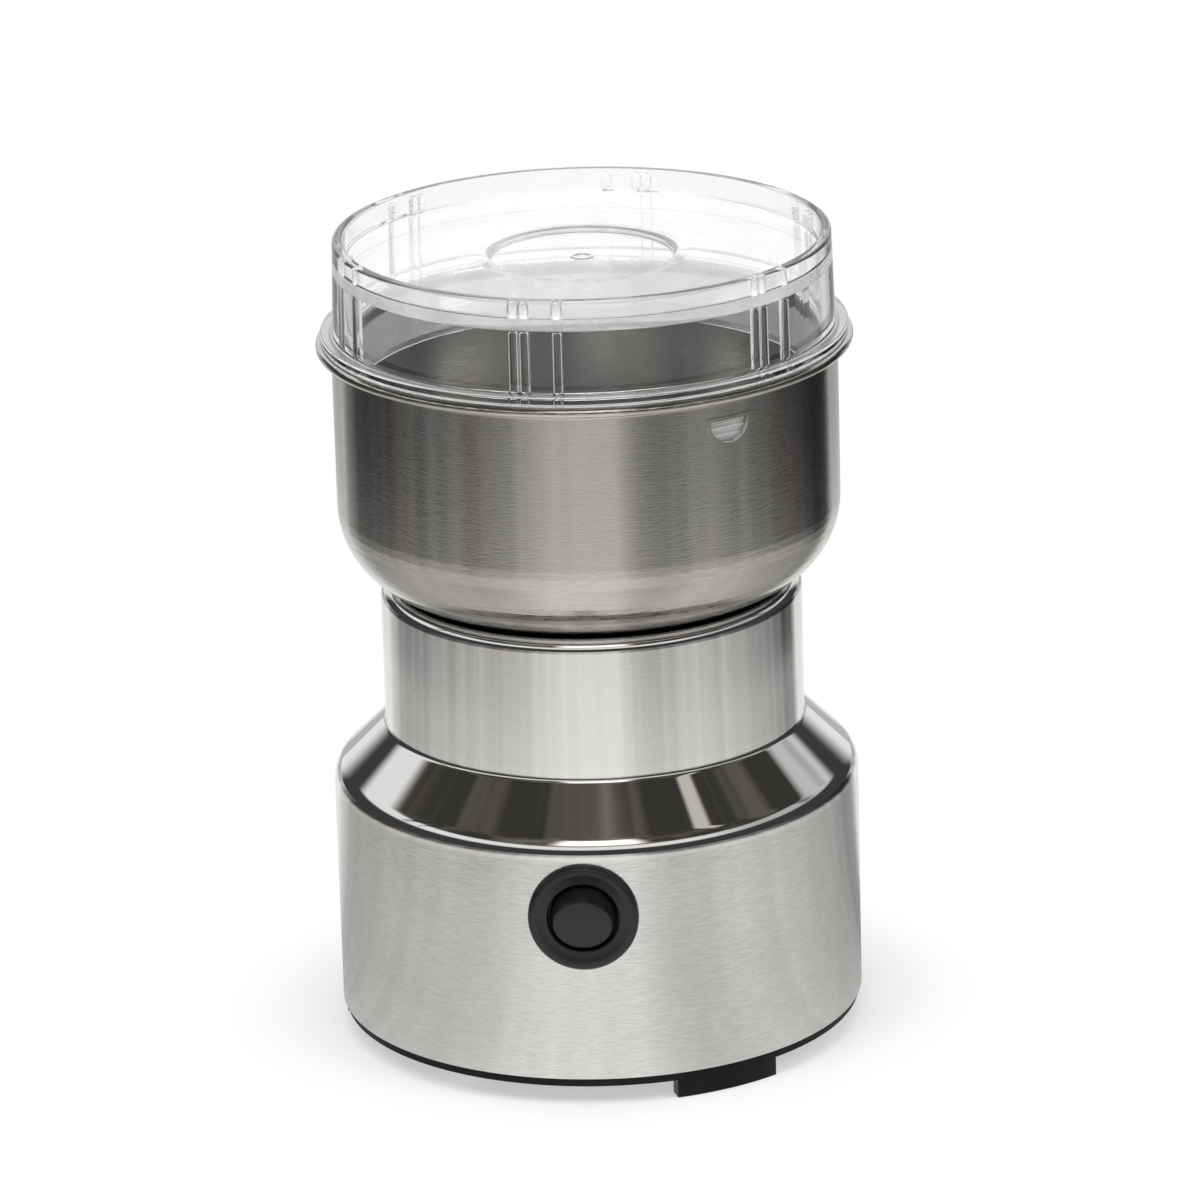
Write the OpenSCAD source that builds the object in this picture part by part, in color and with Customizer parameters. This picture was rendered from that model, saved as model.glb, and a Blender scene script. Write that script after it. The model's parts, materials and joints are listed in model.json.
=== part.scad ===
// Electric blade coffee grinder. A steel bowl sits on a drawn steel housing,
// a motor hung inside turns a crossed blade in the bowl, and a clear lid
// snaps into the bowl's rim. A push button on the front runs the motor.
// Millimetres, +Z up. The origin is under the middle of the feet, and the
// button faces -Y. An azimuth is counted from -Y towards +X.

/* [Housing] */
// Outer radius of the metal base
base_r = 50; // [49.5:0.5:53]
// Outer radius of the metal neck
neck_r = 39.9; // [39.5:0.1:41]
// Thickness of the housing's sheet
shell_t = 0.7; // [0.5:0.1:1]
// Height of the straight wall of the base
base_wall_h = 43.7; // [43:0.5:56]
// Radius of the rounded edge between base wall and shoulder
shoulder_edge_r = 5; // [2:0.5:6]
// Radius of the hollow between shoulder and neck
neck_hollow_r = 1.4; // [1:0.1:3]
// How far the shoulder leans in from upright, in degrees
shoulder_lean = 46; // [42:1:54]
// Height of the straight wall of the neck
neck_h = 24.3; // [23:0.5:36]
// Radius of the rounded lip on top of the neck
lip_r = 2.3; // [1.6:0.1:2.6]
// Radius of the opening inside the neck's lip
lip_opening_r = 36.4; // [35.5:0.1:36.8]
// Depth of the deck that carries the bowl, below the lip
deck_drop = 1.3; // [1:0.1:2]
// Radius of the deck's centre hole
deck_hole_r = 15.5; // [13:0.5:17]

/* [Base plate] */
// Height of the feet below the base plate's rim
foot_h = 3.5; // [2.5:0.1:6]
// Height of the rim that shows below the housing
rim_h = 1.7; // [1.2:0.1:4]
// How far the rim stays back from the housing's wall
rim_step = 0.6; // [0.3:0.1:1.2]
// Thickness of the base plate
floor_t = 2.2; // [1.6:0.1:3]
// Radial depth of a foot
foot_depth = 3; // [2:0.5:10]
// Arc of a foot, in degrees
foot_arc = 24.8; // [16:0.2:34]
// Azimuth of the base plate's middle foot
plate_azimuth = 146; // [140:1:150]
// Arc from the middle foot to each outer foot
foot_pitch = 114; // [108:1:118]
// Height of the spigot that fits inside the housing
spigot_h = 3.8; // [3:0.1:5]
// Wall of the spigot
spigot_t = 1.8; // [1.2:0.1:2.6]
// Number of cooling slots
vent_count = 18; // [12:1:24]
// Length of a cooling slot
vent_len = 12; // [6:0.5:14]
// Width of a cooling slot
vent_w = 2.4; // [1.5:0.1:3]

/* [Bowl] */
// Outer radius of the bowl
bowl_r = 47.5; // [47:0.1:49]
// Height of the bowl
bowl_h = 48.6; // [46:0.2:60]
// Thickness of the bowl's sheet
bowl_t = 0.8; // [0.6:0.1:1]
// Radius of the bowl's rounded bottom edge
bowl_round_r = 16.5; // [15:0.5:19]
// How far the rolled rim stands out from the bowl's wall
rim_reach = 2.9; // [2.5:0.1:4]
// Thickness of the rolled rim
roll_t = 1.9; // [1.4:0.1:2.2]
// Radius of the bowl's rounded mouth
mouth_r = 1.4; // [1:0.1:1.6]
// Width of each snap window
window_w = 10; // [7:0.5:12]
// Height of each snap window
window_h = 6; // [5:0.2:7]
// Height of the bowl's rim above the windows
window_drop = 5; // [4.6:0.1:6]
// Azimuth of the right-hand snap window
window_azimuth = 37; // [0:1:90]
// Thickness of the gasket under the bowl
gasket_t = 0.7; // [0.5:0.1:1.5]

/* [Lid] */
// How far the lid's wall stands in from the bowl's wall, at the lid's top
lid_top_in = 0.9; // [0.5:0.1:1.7]
// The same where the lid's wall meets its flange
lid_low_in = 0.4; // [0.1:0.1:0.5]
// How far the lid's flange reaches past the bowl's wall
flange_reach = 2; // [1:0.1:2.8]
// Thickness of the flange
flange_t = 1.7; // [1.2:0.1:2.4]
// Height of the lid above the bowl's rim
lid_h = 19.3; // [16:0.1:30]
// Wall of the lid
lid_wall = 2; // [1.6:0.1:2.4]
// Depth of the tray above the lid's disc
tray_d = 4; // [2:0.1:6]
// Thickness of the lid's disc
disc_t = 2.1; // [1.6:0.1:3]
// Depth of the lid's skirt inside the bowl
skirt_h = 11.5; // [11:0.5:14]
// Wall of the skirt
skirt_t = 1.5; // [1.2:0.1:2]
// Radius of the round recess in the middle of the disc
recess_r = 17; // [10:0.5:24]
// Depth of the round recess
recess_d = 0.9; // [0.4:0.1:1.2]
// Number of pairs of ribs
rib_pairs = 6; // [3:1:10]
// Width of a wide rib
wide_rib_w = 4.1; // [2:0.1:6]
// Width of a narrow rib
narrow_rib_w = 2.1; // [1:0.1:4]
// How far the ribs stand in from the wall
rib_d = 0.9; // [0.4:0.1:1.4]
// Azimuth of the first wide rib
wide_rib_azimuth = -11.6; // [-30:0.2:30]
// Arc from a wide rib to its narrow one
rib_pitch = 9; // [7:0.5:14]
// Number of ridges on each snap tab
ridge_count = 3; // [2:1:4]

/* [Blade] */
// Length of each blade from tip to tip
blade_len = 66; // [50:1:72]
// Width of a blade at its middle
blade_w = 13; // [11:0.5:16]
// Width of a blade at its tips
blade_tip_w = 8; // [5:0.5:11]
// Thickness of a blade
blade_t = 1.5; // [1:0.1:2]
// Distance of a blade's bend from the shaft
bend_at = 12; // [9:0.5:14]
// Drop of the lower blade's tips
lower_tip_drop = 3; // [0:0.2:4]
// Rise of the upper blade's tips
upper_tip_rise = 5; // [1:0.2:6]
// Height of the collar that carries the blades
collar_h = 3.6; // [3.2:0.1:6]
// Radius of the collar
collar_r = 5.5; // [4.5:0.1:6.5]
// Width of the blade nut across its flats
nut_w = 8; // [7:0.1:10]
// Height of the blade nut
nut_h = 4.2; // [3:0.1:6]
// Thickness of the washer under the nut
washer_t = 1; // [0.6:0.1:1.5]

/* [Motor] */
// Radius of the motor shaft
shaft_r = 3; // [2.8:0.1:3.4]
// Radius of the shaft's threaded end
thread_r = 2.5; // [2:0.1:2.6]
// Radius of the armature
armature_r = 15.7; // [14.5:0.1:15.8]
// Height of the stack of motor plates
stack_h = 24; // [20:0.5:26]
// Gap between armature and field poles
air_gap = 0.5; // [0.4:0.1:0.6]
// Outer radius of the field stack's corners
stack_r = 35.5; // [34.5:0.1:36.5]
// Width of the field stack along its poles
stack_w = 62; // [60:0.5:64]
// Width of the field stack across its poles
stack_d = 58; // [57:0.5:60]
// How far the field coils stand out of the stack
coil_over = 6.5; // [5:0.1:6.6]
// Outer radius of the field coils
coil_r = 25; // [24:0.1:26]
// Thickness of the field coils
coil_t = 7; // [5:0.1:7.2]
// Number of slots in the armature
slot_count = 12; // [8:1:14]
// Radius of the commutator
commutator_r = 9.2; // [8.5:0.1:10]
// Height of the commutator
commutator_h = 9; // [8:0.1:10]
// Radius of the cooling fan
fan_r = 24; // [18:0.5:30]
// Height of the cooling fan
fan_h = 8; // [6:0.5:9]
// Number of the fan's vanes
vane_count = 9; // [6:1:14]
// Thickness of the rubber dampers that carry the motor
damper_t = 1.5; // [1:0.1:2.5]
// Thickness of the motor's end brackets
bracket_t = 3; // [2.4:0.1:4]
// Radius of the circle of the bowl's screws
bowl_screw_pcr = 22; // [20.5:0.5:24]
// Azimuth of the motor's posts
post_azimuth = 30; // [26:1:40]
// Distance of the motor's posts from the shaft
post_r = 24; // [23.5:0.1:25]

/* [Switch and inlet] */
// Height of the switch above the housing's bottom edge
switch_up = 32.5; // [30:0.5:33]
// Radius of the switch bezel
bezel_r = 10.3; // [9.8:0.1:11]
// How far the bezel stands out from the housing
bezel_out = 1.5; // [1.2:0.1:2.5]
// Radius of the threaded barrel of the switch
barrel_r = 7.7; // [7.5:0.1:8]
// Radius of the button's well
well_r = 6.6; // [6:0.05:6.7]
// Gap between the button and its well
button_gap = 0.35; // [0.2:0.05:0.5]
// Radius of the button's taper at the height of its face's top edge
button_face_r = 5; // [4:0.1:5.2]
// How far the top edge of the button's slanted face stands out
button_out = 5.6; // [4.5:0.1:8]
// How far the bottom edge of the button's slanted face stands out
button_low_out = 0.9; // [0.8:0.1:2]
// Travel of the button
button_travel = 2.5; // [1.5:0.1:2.6]
// Width of the switch's body
switch_w = 15; // [15:0.1:15.4]
// Depth of the switch's body
switch_d = 12.5; // [11:0.1:13]
// Height of the cord inlet above the housing's bottom edge
inlet_up = 10.8; // [10.6:0.1:14]
// Radius of the cord inlet's bore
inlet_bore_r = 3.4; // [2.6:0.1:3.6]
// Radius of the cord inlet's body
inlet_r = 4.6; // [4.5:0.1:4.8]
// How far the cord inlet stands out from the housing
inlet_out = 4.6; // [3:0.1:7]

/* [Small parts] */
// Shank radius of a bowl screw
bowl_screw_r = 1.75; // [1.5:0.05:2]
// Shank radius of a base screw
base_screw_r = 1.45; // [1.2:0.05:1.6]
// Shank radius of a motor screw
motor_screw_r = 1.9; // [1.6:0.1:2]
// Width of a carbon brush
brush_w = 6; // [5:0.1:6.2]
// Height of a carbon brush
brush_h = 5; // [4:0.1:5]
// Length of a carbon brush
brush_len = 13; // [11:0.5:14]
// Wall of a brush holder
holder_wall = 1; // [0.6:0.1:1]
// Length of a brush holder
holder_len = 22; // [20:0.5:23]
// Radius of the leads inside the housing
lead_r = 0.9; // [0.6:0.1:1]
// Wire radius of the springs
wire_r = 0.3; // [0.2:0.05:0.3]

/* [Hidden] */
$fn = 96;

// Clearances: two fixed pieces, a running shaft, and two loose pieces
fit = 0.03;
run = 0.04;
loose = 0.3;
// A cut reaches this far past what it cuts
past = 1;
// Number of steps in a rounded corner
steps = 8;

// Heights in the housing, from the ground up
shell_z = foot_h + rim_h;
shoulder_z = shell_z + base_wall_h;
lean_s = sin(shoulder_lean);
lean_c = cos(shoulder_lean);
rounds = shoulder_edge_r + neck_hollow_r;
shoulder_h = rounds * lean_s
    + lean_c / lean_s * (base_r - neck_r - rounds * (1 - lean_c));
neck_z = shoulder_z + shoulder_h;
neck_top_z = neck_z + neck_h;
lip_z = neck_top_z + lip_r;
deck_z = lip_z - deck_drop;
deck_under_z = deck_z - shell_t;
inner_r = base_r - shell_t;

// Heights in the bowl and on the shaft
bowl_z = deck_z + gasket_t;
bowl_floor_z = bowl_z + bowl_t;
bowl_inner_r = bowl_r - bowl_t;
rim_z = bowl_z + bowl_h;
rim_r = bowl_r + rim_reach;
seal_r = 7.1;
seal_flange_r = 9.5;
seal_flange_t = 1.6;
collar_z = bowl_floor_z + seal_flange_t + loose;
lower_blade_z = collar_z + collar_h;
upper_blade_z = lower_blade_z + blade_t + fit;
washer_z = upper_blade_z + blade_t + fit;
nut_z = washer_z + washer_t + fit;
shaft_top_z = nut_z + nut_h + 1.4;

// Heights in the lid
lid_top_r = bowl_r - lid_top_in;
lid_low_r = bowl_r - lid_low_in;
flange_r = bowl_r + flange_reach;
flange_z = rim_z + 0.1;
lid_top_z = rim_z + lid_h;
disc_top_z = lid_top_z - tray_d;
disc_z = disc_top_z - disc_t;
skirt_z = flange_z - skirt_h;
skirt_r = bowl_inner_r - loose;
tray_r = lid_top_r - lid_wall;
skirt_in_r = skirt_r - skirt_t;
window_mid_z = rim_z - window_drop - window_h / 2;
ridge_pitch = 1.25;
ridge_r = 0.35;
tab_depth = 0.45;

// Heights in the motor, from the deck down
bracket_top_z = deck_under_z - damper_t - fit;
bracket_z = bracket_top_z - bracket_t;
coil_room = coil_over + 1.5;
stack_top_z = bracket_z - coil_room;
stack_z = stack_top_z - stack_h;
winding_over = coil_over - 1.3;
commutator_top_z = stack_z - winding_over - 0.4;
commutator_z = commutator_top_z - commutator_h;
brush_z = commutator_z + commutator_h / 2 - 0.6;
lower_plate_top_z = commutator_z - 0.6;
lower_plate_z = lower_plate_top_z - bracket_t;
bush_r = 6;
upper_bush_h = 6.5;
upper_bush_z = deck_z - 0.4 - upper_bush_h;
lower_bush_h = 9;
lower_bush_z = lower_plate_top_z - lower_bush_h;
fan_top_z = lower_bush_z - 1;
fan_z = fan_top_z - fan_h;
shaft_z = fan_z - 1;
bearing_boss_r = 9;
post_boss_r = 4.5;
bore_r = armature_r + air_gap;

// Places round the switch
switch_z = shell_z + switch_up;
bezel_y = base_r + bezel_out;
button_r = well_r - button_gap;
button_y = base_r + button_out;
button_low_y = base_r + button_low_out;
button_taper = (button_r - button_face_r) / (button_y - button_low_y + 0.3);
button_slant = atan2(button_y - button_low_y, button_face_r + button_r);
lip_y = base_r - 0.8;
cap_back_y = base_r - 2.4;
cap_wall = 1.2;
cap_floor_y = button_low_y - 0.7;
barrel_end_y = cap_back_y - button_travel - 1.6;
stem_r = 2.2;
stem_in = 1;
stem_end_y = barrel_end_y - stem_in;
stem_hole_d = stem_in + button_travel + 1.5;
switch_back_y = barrel_end_y - switch_d;
terminal_len = 5;
terminal_x = 3.5;
inlet_z = shell_z + inlet_up;

// Places round the base plate
rim_out_r = base_r - rim_step;
floor_top_z = foot_h + floor_t;
spigot_r = inner_r - 0.2;
spigot_top_z = shell_z + spigot_h;
tab_z = spigot_top_z + 0.1;
tab_t = 1.6;
tab_len = 9;
tab_w = 10;
base_screw_pcr = inner_r - tab_len + 3.6;
foot_azimuths = [
    plate_azimuth - foot_pitch, plate_azimuth, plate_azimuth + foot_pitch
];
tab_azimuths = [
    plate_azimuth - foot_pitch / 2, plate_azimuth + foot_pitch / 2,
    plate_azimuth + 180
];
bowl_screw_azimuths = [0, 120, 240];

// Places of the electrical parts on the base plate: their outer corners
// stay a little inside the spigot
floor_corner_r = spigot_r - spigot_t - 1.2;
block_azimuth = 232;
block_w = 20;
block_d = 10;
block_h = 12;
block_r = sqrt(pow(floor_corner_r, 2) - pow(block_w / 2, 2)) - block_d / 2;
block_top_z = floor_top_z + block_h;
capacitor_azimuth = 120;
capacitor_w = 22;
capacitor_d = 9;
capacitor_h = 16;
capacitor_pcr = sqrt(pow(floor_corner_r, 2) - pow(capacitor_w / 2, 2))
    - capacitor_d / 2;
capacitor_top_z = floor_top_z + capacitor_h;
pole_azimuths = [post_azimuth + 90, post_azimuth + 270];

STEEL = [0.78, 0.79, 0.78];
DARK_STEEL = [0.45, 0.46, 0.47];
CLEAR = [0.88, 0.92, 0.93, 0.35];
BLACK = [0.12, 0.12, 0.13];
RUBBER = [0.18, 0.18, 0.18];
COPPER = [0.78, 0.42, 0.22];
BRASS = [0.80, 0.66, 0.32];
CREAM = [0.90, 0.87, 0.78];
BROWN = [0.55, 0.25, 0.12];
BLUE = [0.15, 0.20, 0.55];
GREY = [0.30, 0.30, 0.32];

// Points of an arc about [cx, cy] from one angle to another
function arc(cx, cy, r, from, to, n = steps) = [
    for (i = [0:n])
        let (a = from + (to - from) * i / n)
            [cx + r * cos(a), cy + r * sin(a)]
];

function reversed(v) = [for (i = [len(v) - 1:-1:0]) v[i]];

// A point at a radius, an azimuth and a height
function at(r, azimuth, z) = [r * sin(azimuth), -r * cos(azimuth), z];

// Turns what is drawn towards -Y to an azimuth
module towards(azimuth) {
    rotate([0, 0, azimuth]) children();
}

// Lays a shape drawn along +Z along -Y, starting on the axis
module outward() {
    rotate([90, 0, 0]) children();
}

module ring(r_out, r_in, h) {
    difference() {
        cylinder(r = r_out, h = h);
        translate([0, 0, -past]) cylinder(r = r_in, h = h + 2 * past);
    }
}

// A block of a ring, centred on an azimuth
module ring_sector(r_in, r_out, h, width, azimuth = 0) {
    rotate([0, 0, azimuth - 90 - width / 2])
        rotate_extrude(angle = width)
            translate([r_in, 0]) square([r_out - r_in, h]);
}

// A screw with its head's underside at z = 0 and its shank downwards
module pan_screw(shank_r, head_r, head_h, len) {
    difference() {
        union() {
            rotate_extrude() polygon(concat(
                [[0, 0], [head_r, 0]],
                arc(head_r - 0.6, head_h - 0.6, 0.6, 0, 90, 4),
                [[0, head_h]]
            ));
            translate([0, 0, -len]) cylinder(r = shank_r, h = len + 0.1);
        }
        for (a = [0, 90])
            rotate([0, 0, a])
                translate([-head_r * 0.55, -0.4, head_h * 0.45])
                    cube([head_r * 1.1, 0.8, head_h]);
    }
}

// Faces of a tube of n pieces, whose rings have the given number of sides
function tube_id(i, k, sides) = i * sides + k % sides;

function tube_faces(n, sides) = concat(
    [[for (k = [0:sides - 1]) k]],
    [for (i = [0:n - 1], k = [0:sides - 1]) each [
        [
            tube_id(i, k, sides), tube_id(i + 1, k, sides),
            tube_id(i, k + 1, sides)
        ],
        [
            tube_id(i + 1, k, sides), tube_id(i + 1, k + 1, sides),
            tube_id(i, k + 1, sides)
        ]
    ]],
    [[for (k = [sides - 1:-1:0]) tube_id(n, k, sides)]]
);

// A helix of round wire, standing on z = 0
function helix_point(r, h, turns, t) =
    [r * cos(360 * turns * t), r * sin(360 * turns * t), h * t];

module spring(mean_r, h, turns, wire, sides = 6, per_turn = 10) {
    n = turns * per_turn;
    lift = h - 2 * wire;
    slope = atan2(lift, 2 * PI * mean_r * turns);
    points = [
        for (i = [0:n])
            let (
                a = 360 * turns * i / n,
                c = helix_point(mean_r, lift, turns, i / n) + [0, 0, wire],
                out = [cos(a), sin(a), 0],
                side = [sin(a) * sin(slope), -cos(a) * sin(slope), cos(slope)]
            )
                for (k = [0:sides - 1])
                    let (b = 360 * k / sides)
                        c + wire * (cos(b) * out + sin(b) * side)
    ];
    polyhedron(points, tube_faces(n, sides));
}

// A path with its corners cut, so that a lead bends smoothly
function cut_corners(p) = concat(
    [p[0]],
    [for (i = [0:len(p) - 2]) each [
        p[i] * 0.75 + p[i + 1] * 0.25,
        p[i] * 0.25 + p[i + 1] * 0.75
    ]],
    [p[len(p) - 1]]
);

function unit(v) = v / norm(v);

// Direction of a path at one of its points
function along(p, i) =
    unit(p[min(i + 1, len(p) - 1)] - p[max(i - 1, 0)]);

// The part of a vector that is square to a direction
function square_to(v, d) = unit(v - (v * d) * d);

// Vectors square to a path, turning no more than the path itself does
function side_vectors(p, i, found) =
    i == len(p) ? found
    : side_vectors(p, i + 1,
        concat(found, [square_to(found[i - 1], along(p, i))]));

// A round wire along a path
module wire_along(path, r, sides = 8) {
    p = cut_corners(cut_corners(path));
    n = len(p) - 1;
    start = square_to([0.31, 0.52, 0.79], along(p, 0));
    out = side_vectors(p, 1, [start]);
    points = [
        for (i = [0:n])
            let (side = cross(along(p, i), out[i]))
                for (k = [0:sides - 1])
                    let (b = 360 * k / sides)
                        p[i] + r * (cos(b) * out[i] + sin(b) * side)
    ];
    polyhedron(points, tube_faces(n, sides));
}

// Points on a level arc round the housing
function round_run(r, z, from, to, n) =
    [for (i = [0:n]) at(r, from + (to - from) * i / n, z)];

// The housing's outline, drawn in from its outer face by t
function housing_path(t) = concat(
    [[base_r - t, shell_z]],
    arc(base_r - shoulder_edge_r, shoulder_z, shoulder_edge_r - t,
        0, shoulder_lean),
    arc(neck_r + neck_hollow_r, neck_z, neck_hollow_r + t,
        180 + shoulder_lean, 180, 5),
    arc(neck_r - lip_r, neck_top_z, lip_r - t, 0, 90, 6),
    [
        [lip_opening_r + t, lip_z - t],
        [lip_opening_r - deck_drop / 2 + t, deck_z - t],
        [deck_hole_r, deck_z - t]
    ]
);

module housing_shell() {
    color(STEEL)
    difference() {
        rotate_extrude()
            polygon(concat(housing_path(0), reversed(housing_path(shell_t))));
        translate([0, 0, switch_z]) outward()
            translate([0, 0, inner_r - 4]) cylinder(r = barrel_r + 0.2, h = 8);
        towards(180) translate([0, 0, inlet_z]) outward()
            translate([0, 0, inner_r - 4]) cylinder(r = inlet_r + 0.1, h = 8);
        for (a = bowl_screw_azimuths)
            translate(at(bowl_screw_pcr, a, deck_under_z - past))
                cylinder(r = bowl_screw_r + 0.25, h = shell_t + 2 * past);
    }
}

// Three steel tabs welded inside the housing, which take the base screws
module mounting_tabs() {
    color(DARK_STEEL)
    for (a = tab_azimuths)
        towards(a) difference() {
            intersection() {
                translate([-tab_w / 2, -inner_r, tab_z])
                    cube([tab_w, tab_len, tab_t + 5]);
                cylinder(r = inner_r - fit, h = tab_z + tab_t + 6);
            }
            translate([-tab_w / 2 - past, -inner_r + 2.5, tab_z + tab_t])
                cube([tab_w + 2 * past, tab_len, 6]);
            translate([0, -base_screw_pcr, tab_z - past])
                cylinder(r = base_screw_r + fit, h = tab_t + 2 * past);
        }
}

// The base plate's outline: floor, rim and the spigot inside the housing,
// with a band below the rim that the feet are left from
function plate_path() = [
    [0, foot_h], [rim_out_r - foot_depth, foot_h],
    [rim_out_r - foot_depth, 0], [rim_out_r, 0], [rim_out_r, shell_z],
    [spigot_r, shell_z], [spigot_r, spigot_top_z - 0.6],
    [spigot_r - 0.6, spigot_top_z], [spigot_r - spigot_t, spigot_top_z],
    [spigot_r - spigot_t, floor_top_z], [0, floor_top_z]
];

module base_plate() {
    hole_r = base_screw_r + 0.3;
    gap_arc = 360 / len(foot_azimuths);
    vent_r = fan_r - 10;
    color(BLACK)
    difference() {
        union() {
            rotate_extrude() polygon(plate_path());
            for (a = tab_azimuths)
                translate(at(base_screw_pcr, a, foot_h + 0.5))
                    cylinder(r = 3.6, h = spigot_top_z - foot_h - 0.5);
        }
        // The spaces between the feet
        for (i = [0:len(foot_azimuths) - 1])
            let (
                from = foot_azimuths[i] + foot_arc / 2,
                next = i + 1 < len(foot_azimuths) ? foot_azimuths[i + 1]
                    : foot_azimuths[0] + 360,
                span = next - foot_arc / 2 - from
            )
                translate([0, 0, -past]) linear_extrude(foot_h + past)
                    polygon(concat(
                        [[0, 0]],
                        [for (k = [0:6])
                            let (p = at(1.3 * base_r, from + span * k / 6, 0))
                                [p.x, p.y]]
                    ));
        for (a = tab_azimuths)
            translate(at(base_screw_pcr, a, foot_h - past))
                cylinder(r = hole_r, h = spigot_top_z);
        for (a = tab_azimuths)
            translate(at(base_screw_pcr, a, foot_h - past))
                cylinder(r = 2.9, h = past + 1.2);
        // The cooling slots
        intersection() {
            translate([0, 0, foot_h - past])
                ring(vent_r + vent_len, vent_r, floor_t + 2 * past);
            for (i = [0:vent_count - 1])
                towards(i * 360 / vent_count)
                    translate([-vent_w / 2, -vent_r - vent_len - past, foot_h - past])
                        cube([vent_w, vent_len + 2 * past, floor_t + 2 * past]);
        }
    }
}

module base_screws() {
    color(DARK_STEEL)
    for (a = tab_azimuths)
        translate(at(base_screw_pcr, a, foot_h + 1.2)) mirror([0, 0, 1])
            pan_screw(base_screw_r, 2.7, 1.1,
                tab_z + tab_t - foot_h - 0.2);
}

// The bowl's outline, from its centre hole out to the rim and back inside
function bowl_path() =
    let (
        round_at = bowl_r - bowl_round_r,
        roll_r = roll_t / 2,
        under_z = rim_z - roll_t,
        cove_r = 0.8
    )
    concat(
        [[seal_r + 0.1, bowl_z]],
        arc(round_at, bowl_z + bowl_round_r, bowl_round_r, -90, 0, 10),
        arc(bowl_r + cove_r, under_z - cove_r, cove_r, 180, 90, 4),
        arc(rim_r - roll_r, under_z + roll_r, roll_r, -90, 90, 8),
        arc(bowl_inner_r + mouth_r, rim_z - mouth_r, mouth_r, 90, 180, 5),
        arc(round_at, bowl_z + bowl_round_r, bowl_round_r - bowl_t, 0, -90, 10),
        [[seal_r + 0.1, bowl_floor_z]]
    );

// A snap window seen from outside: flat on top, round below
module window_2d() {
    intersection() {
        translate([0, (window_w - window_h) / 2]) circle(d = window_w);
        square([window_w + 1, window_h], center = true);
    }
}

module bowl() {
    color(STEEL)
    difference() {
        rotate_extrude() polygon(bowl_path());
        for (a = [window_azimuth, window_azimuth + 180])
            towards(a) translate([0, 0, window_mid_z]) outward()
                translate([0, 0, bowl_inner_r - 4])
                    linear_extrude(9) window_2d();
        for (a = bowl_screw_azimuths)
            translate(at(bowl_screw_pcr, a, bowl_z - past))
                cylinder(r = bowl_screw_r + 0.15, h = bowl_t + 2 * past);
    }
}

module bowl_gasket() {
    color(RUBBER)
    difference() {
        translate([0, 0, deck_z])
            ring(lip_opening_r - deck_drop / 2 - loose, deck_hole_r + 1,
                gasket_t);
        for (a = bowl_screw_azimuths)
            translate(at(bowl_screw_pcr, a, deck_z - past))
                cylinder(r = bowl_screw_r + 0.15, h = gasket_t + 2 * past);
    }
}

module bowl_screws() {
    color(STEEL)
    for (a = bowl_screw_azimuths)
        translate(at(bowl_screw_pcr, a, bowl_floor_z))
            pan_screw(bowl_screw_r, 3.3, 1.9, bowl_floor_z - bracket_z - 0.2);
}

// The lip seal in the bowl's floor, round the shaft
module shaft_seal() {
    color(RUBBER)
    rotate_extrude() polygon([
        [shaft_r + run, bowl_z - 0.6], [seal_r, bowl_z - 0.6],
        [seal_r, bowl_floor_z], [seal_flange_r, bowl_floor_z],
        [seal_flange_r - 0.5, bowl_floor_z + 0.8],
        [shaft_r + 1.6, bowl_floor_z + seal_flange_t],
        [shaft_r + run, bowl_floor_z + seal_flange_t]
    ]);
}

module drive_collar() {
    color(BRASS)
    translate([0, 0, collar_z]) difference() {
        rotate_extrude() polygon([
            [0, 0], [collar_r - 0.8, 0], [collar_r - 0.8, 1], [collar_r, 1.6],
            [collar_r, collar_h - 0.3], [collar_r - 0.3, collar_h],
            [0, collar_h]
        ]);
        translate([0, 0, -past])
            cylinder(r = shaft_r + fit, h = collar_h + 2 * past);
    }
}

// Side view of a blade: flat in the middle, with both arms bent
function blade_side(bend) =
    let (tip = blade_len / 2)
    [
        [-tip, bend], [-bend_at, 0], [bend_at, 0], [tip, bend],
        [tip, bend + blade_t], [bend_at, blade_t], [-bend_at, blade_t],
        [-tip, bend + blade_t]
    ];

// Plan of a blade, with a straight middle and tips cut on a slant
module blade_plan() {
    tip = blade_len / 2;
    for (a = [0, 180])
        rotate(a) polygon([
            [-0.1, -blade_w / 2], [bend_at, -blade_w / 2],
            [tip - 2.5, -blade_tip_w / 2], [tip, -blade_tip_w / 2 + 2.5],
            [tip, blade_tip_w / 2 - 0.8], [tip - 0.8, blade_tip_w / 2],
            [bend_at, blade_w / 2], [-0.1, blade_w / 2]
        ]);
}

module blade(bend) {
    difference() {
        intersection() {
            translate([0, blade_w, 0]) rotate([90, 0, 0])
                linear_extrude(2 * blade_w) polygon(blade_side(bend));
            translate([0, 0, -10]) linear_extrude(20) blade_plan();
        }
        translate([0, 0, -past])
            cylinder(r = thread_r + fit, h = blade_t + 2 * past);
    }
}

module lower_blade() {
    color(STEEL)
    translate([0, 0, lower_blade_z]) rotate([0, 0, 25]) blade(-lower_tip_drop);
}

module upper_blade() {
    color(STEEL)
    translate([0, 0, upper_blade_z]) rotate([0, 0, 115]) blade(upper_tip_rise);
}

module blade_washer() {
    color(STEEL)
    translate([0, 0, washer_z]) ring(nut_w / 2 + 0.8, thread_r + fit, washer_t);
}

module blade_nut() {
    corner_r = nut_w / 2 / cos(30);
    color(BRASS)
    translate([0, 0, nut_z]) difference() {
        intersection() {
            cylinder(r = corner_r, h = nut_h, $fn = 6);
            rotate_extrude() polygon([
                [0, 0], [corner_r - 0.2, 0], [corner_r, 0.4],
                [corner_r, nut_h - 0.6], [corner_r - 0.9, nut_h], [0, nut_h]
            ]);
        }
        translate([0, 0, -past])
            cylinder(r = thread_r + fit, h = nut_h + 2 * past);
    }
}

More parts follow.
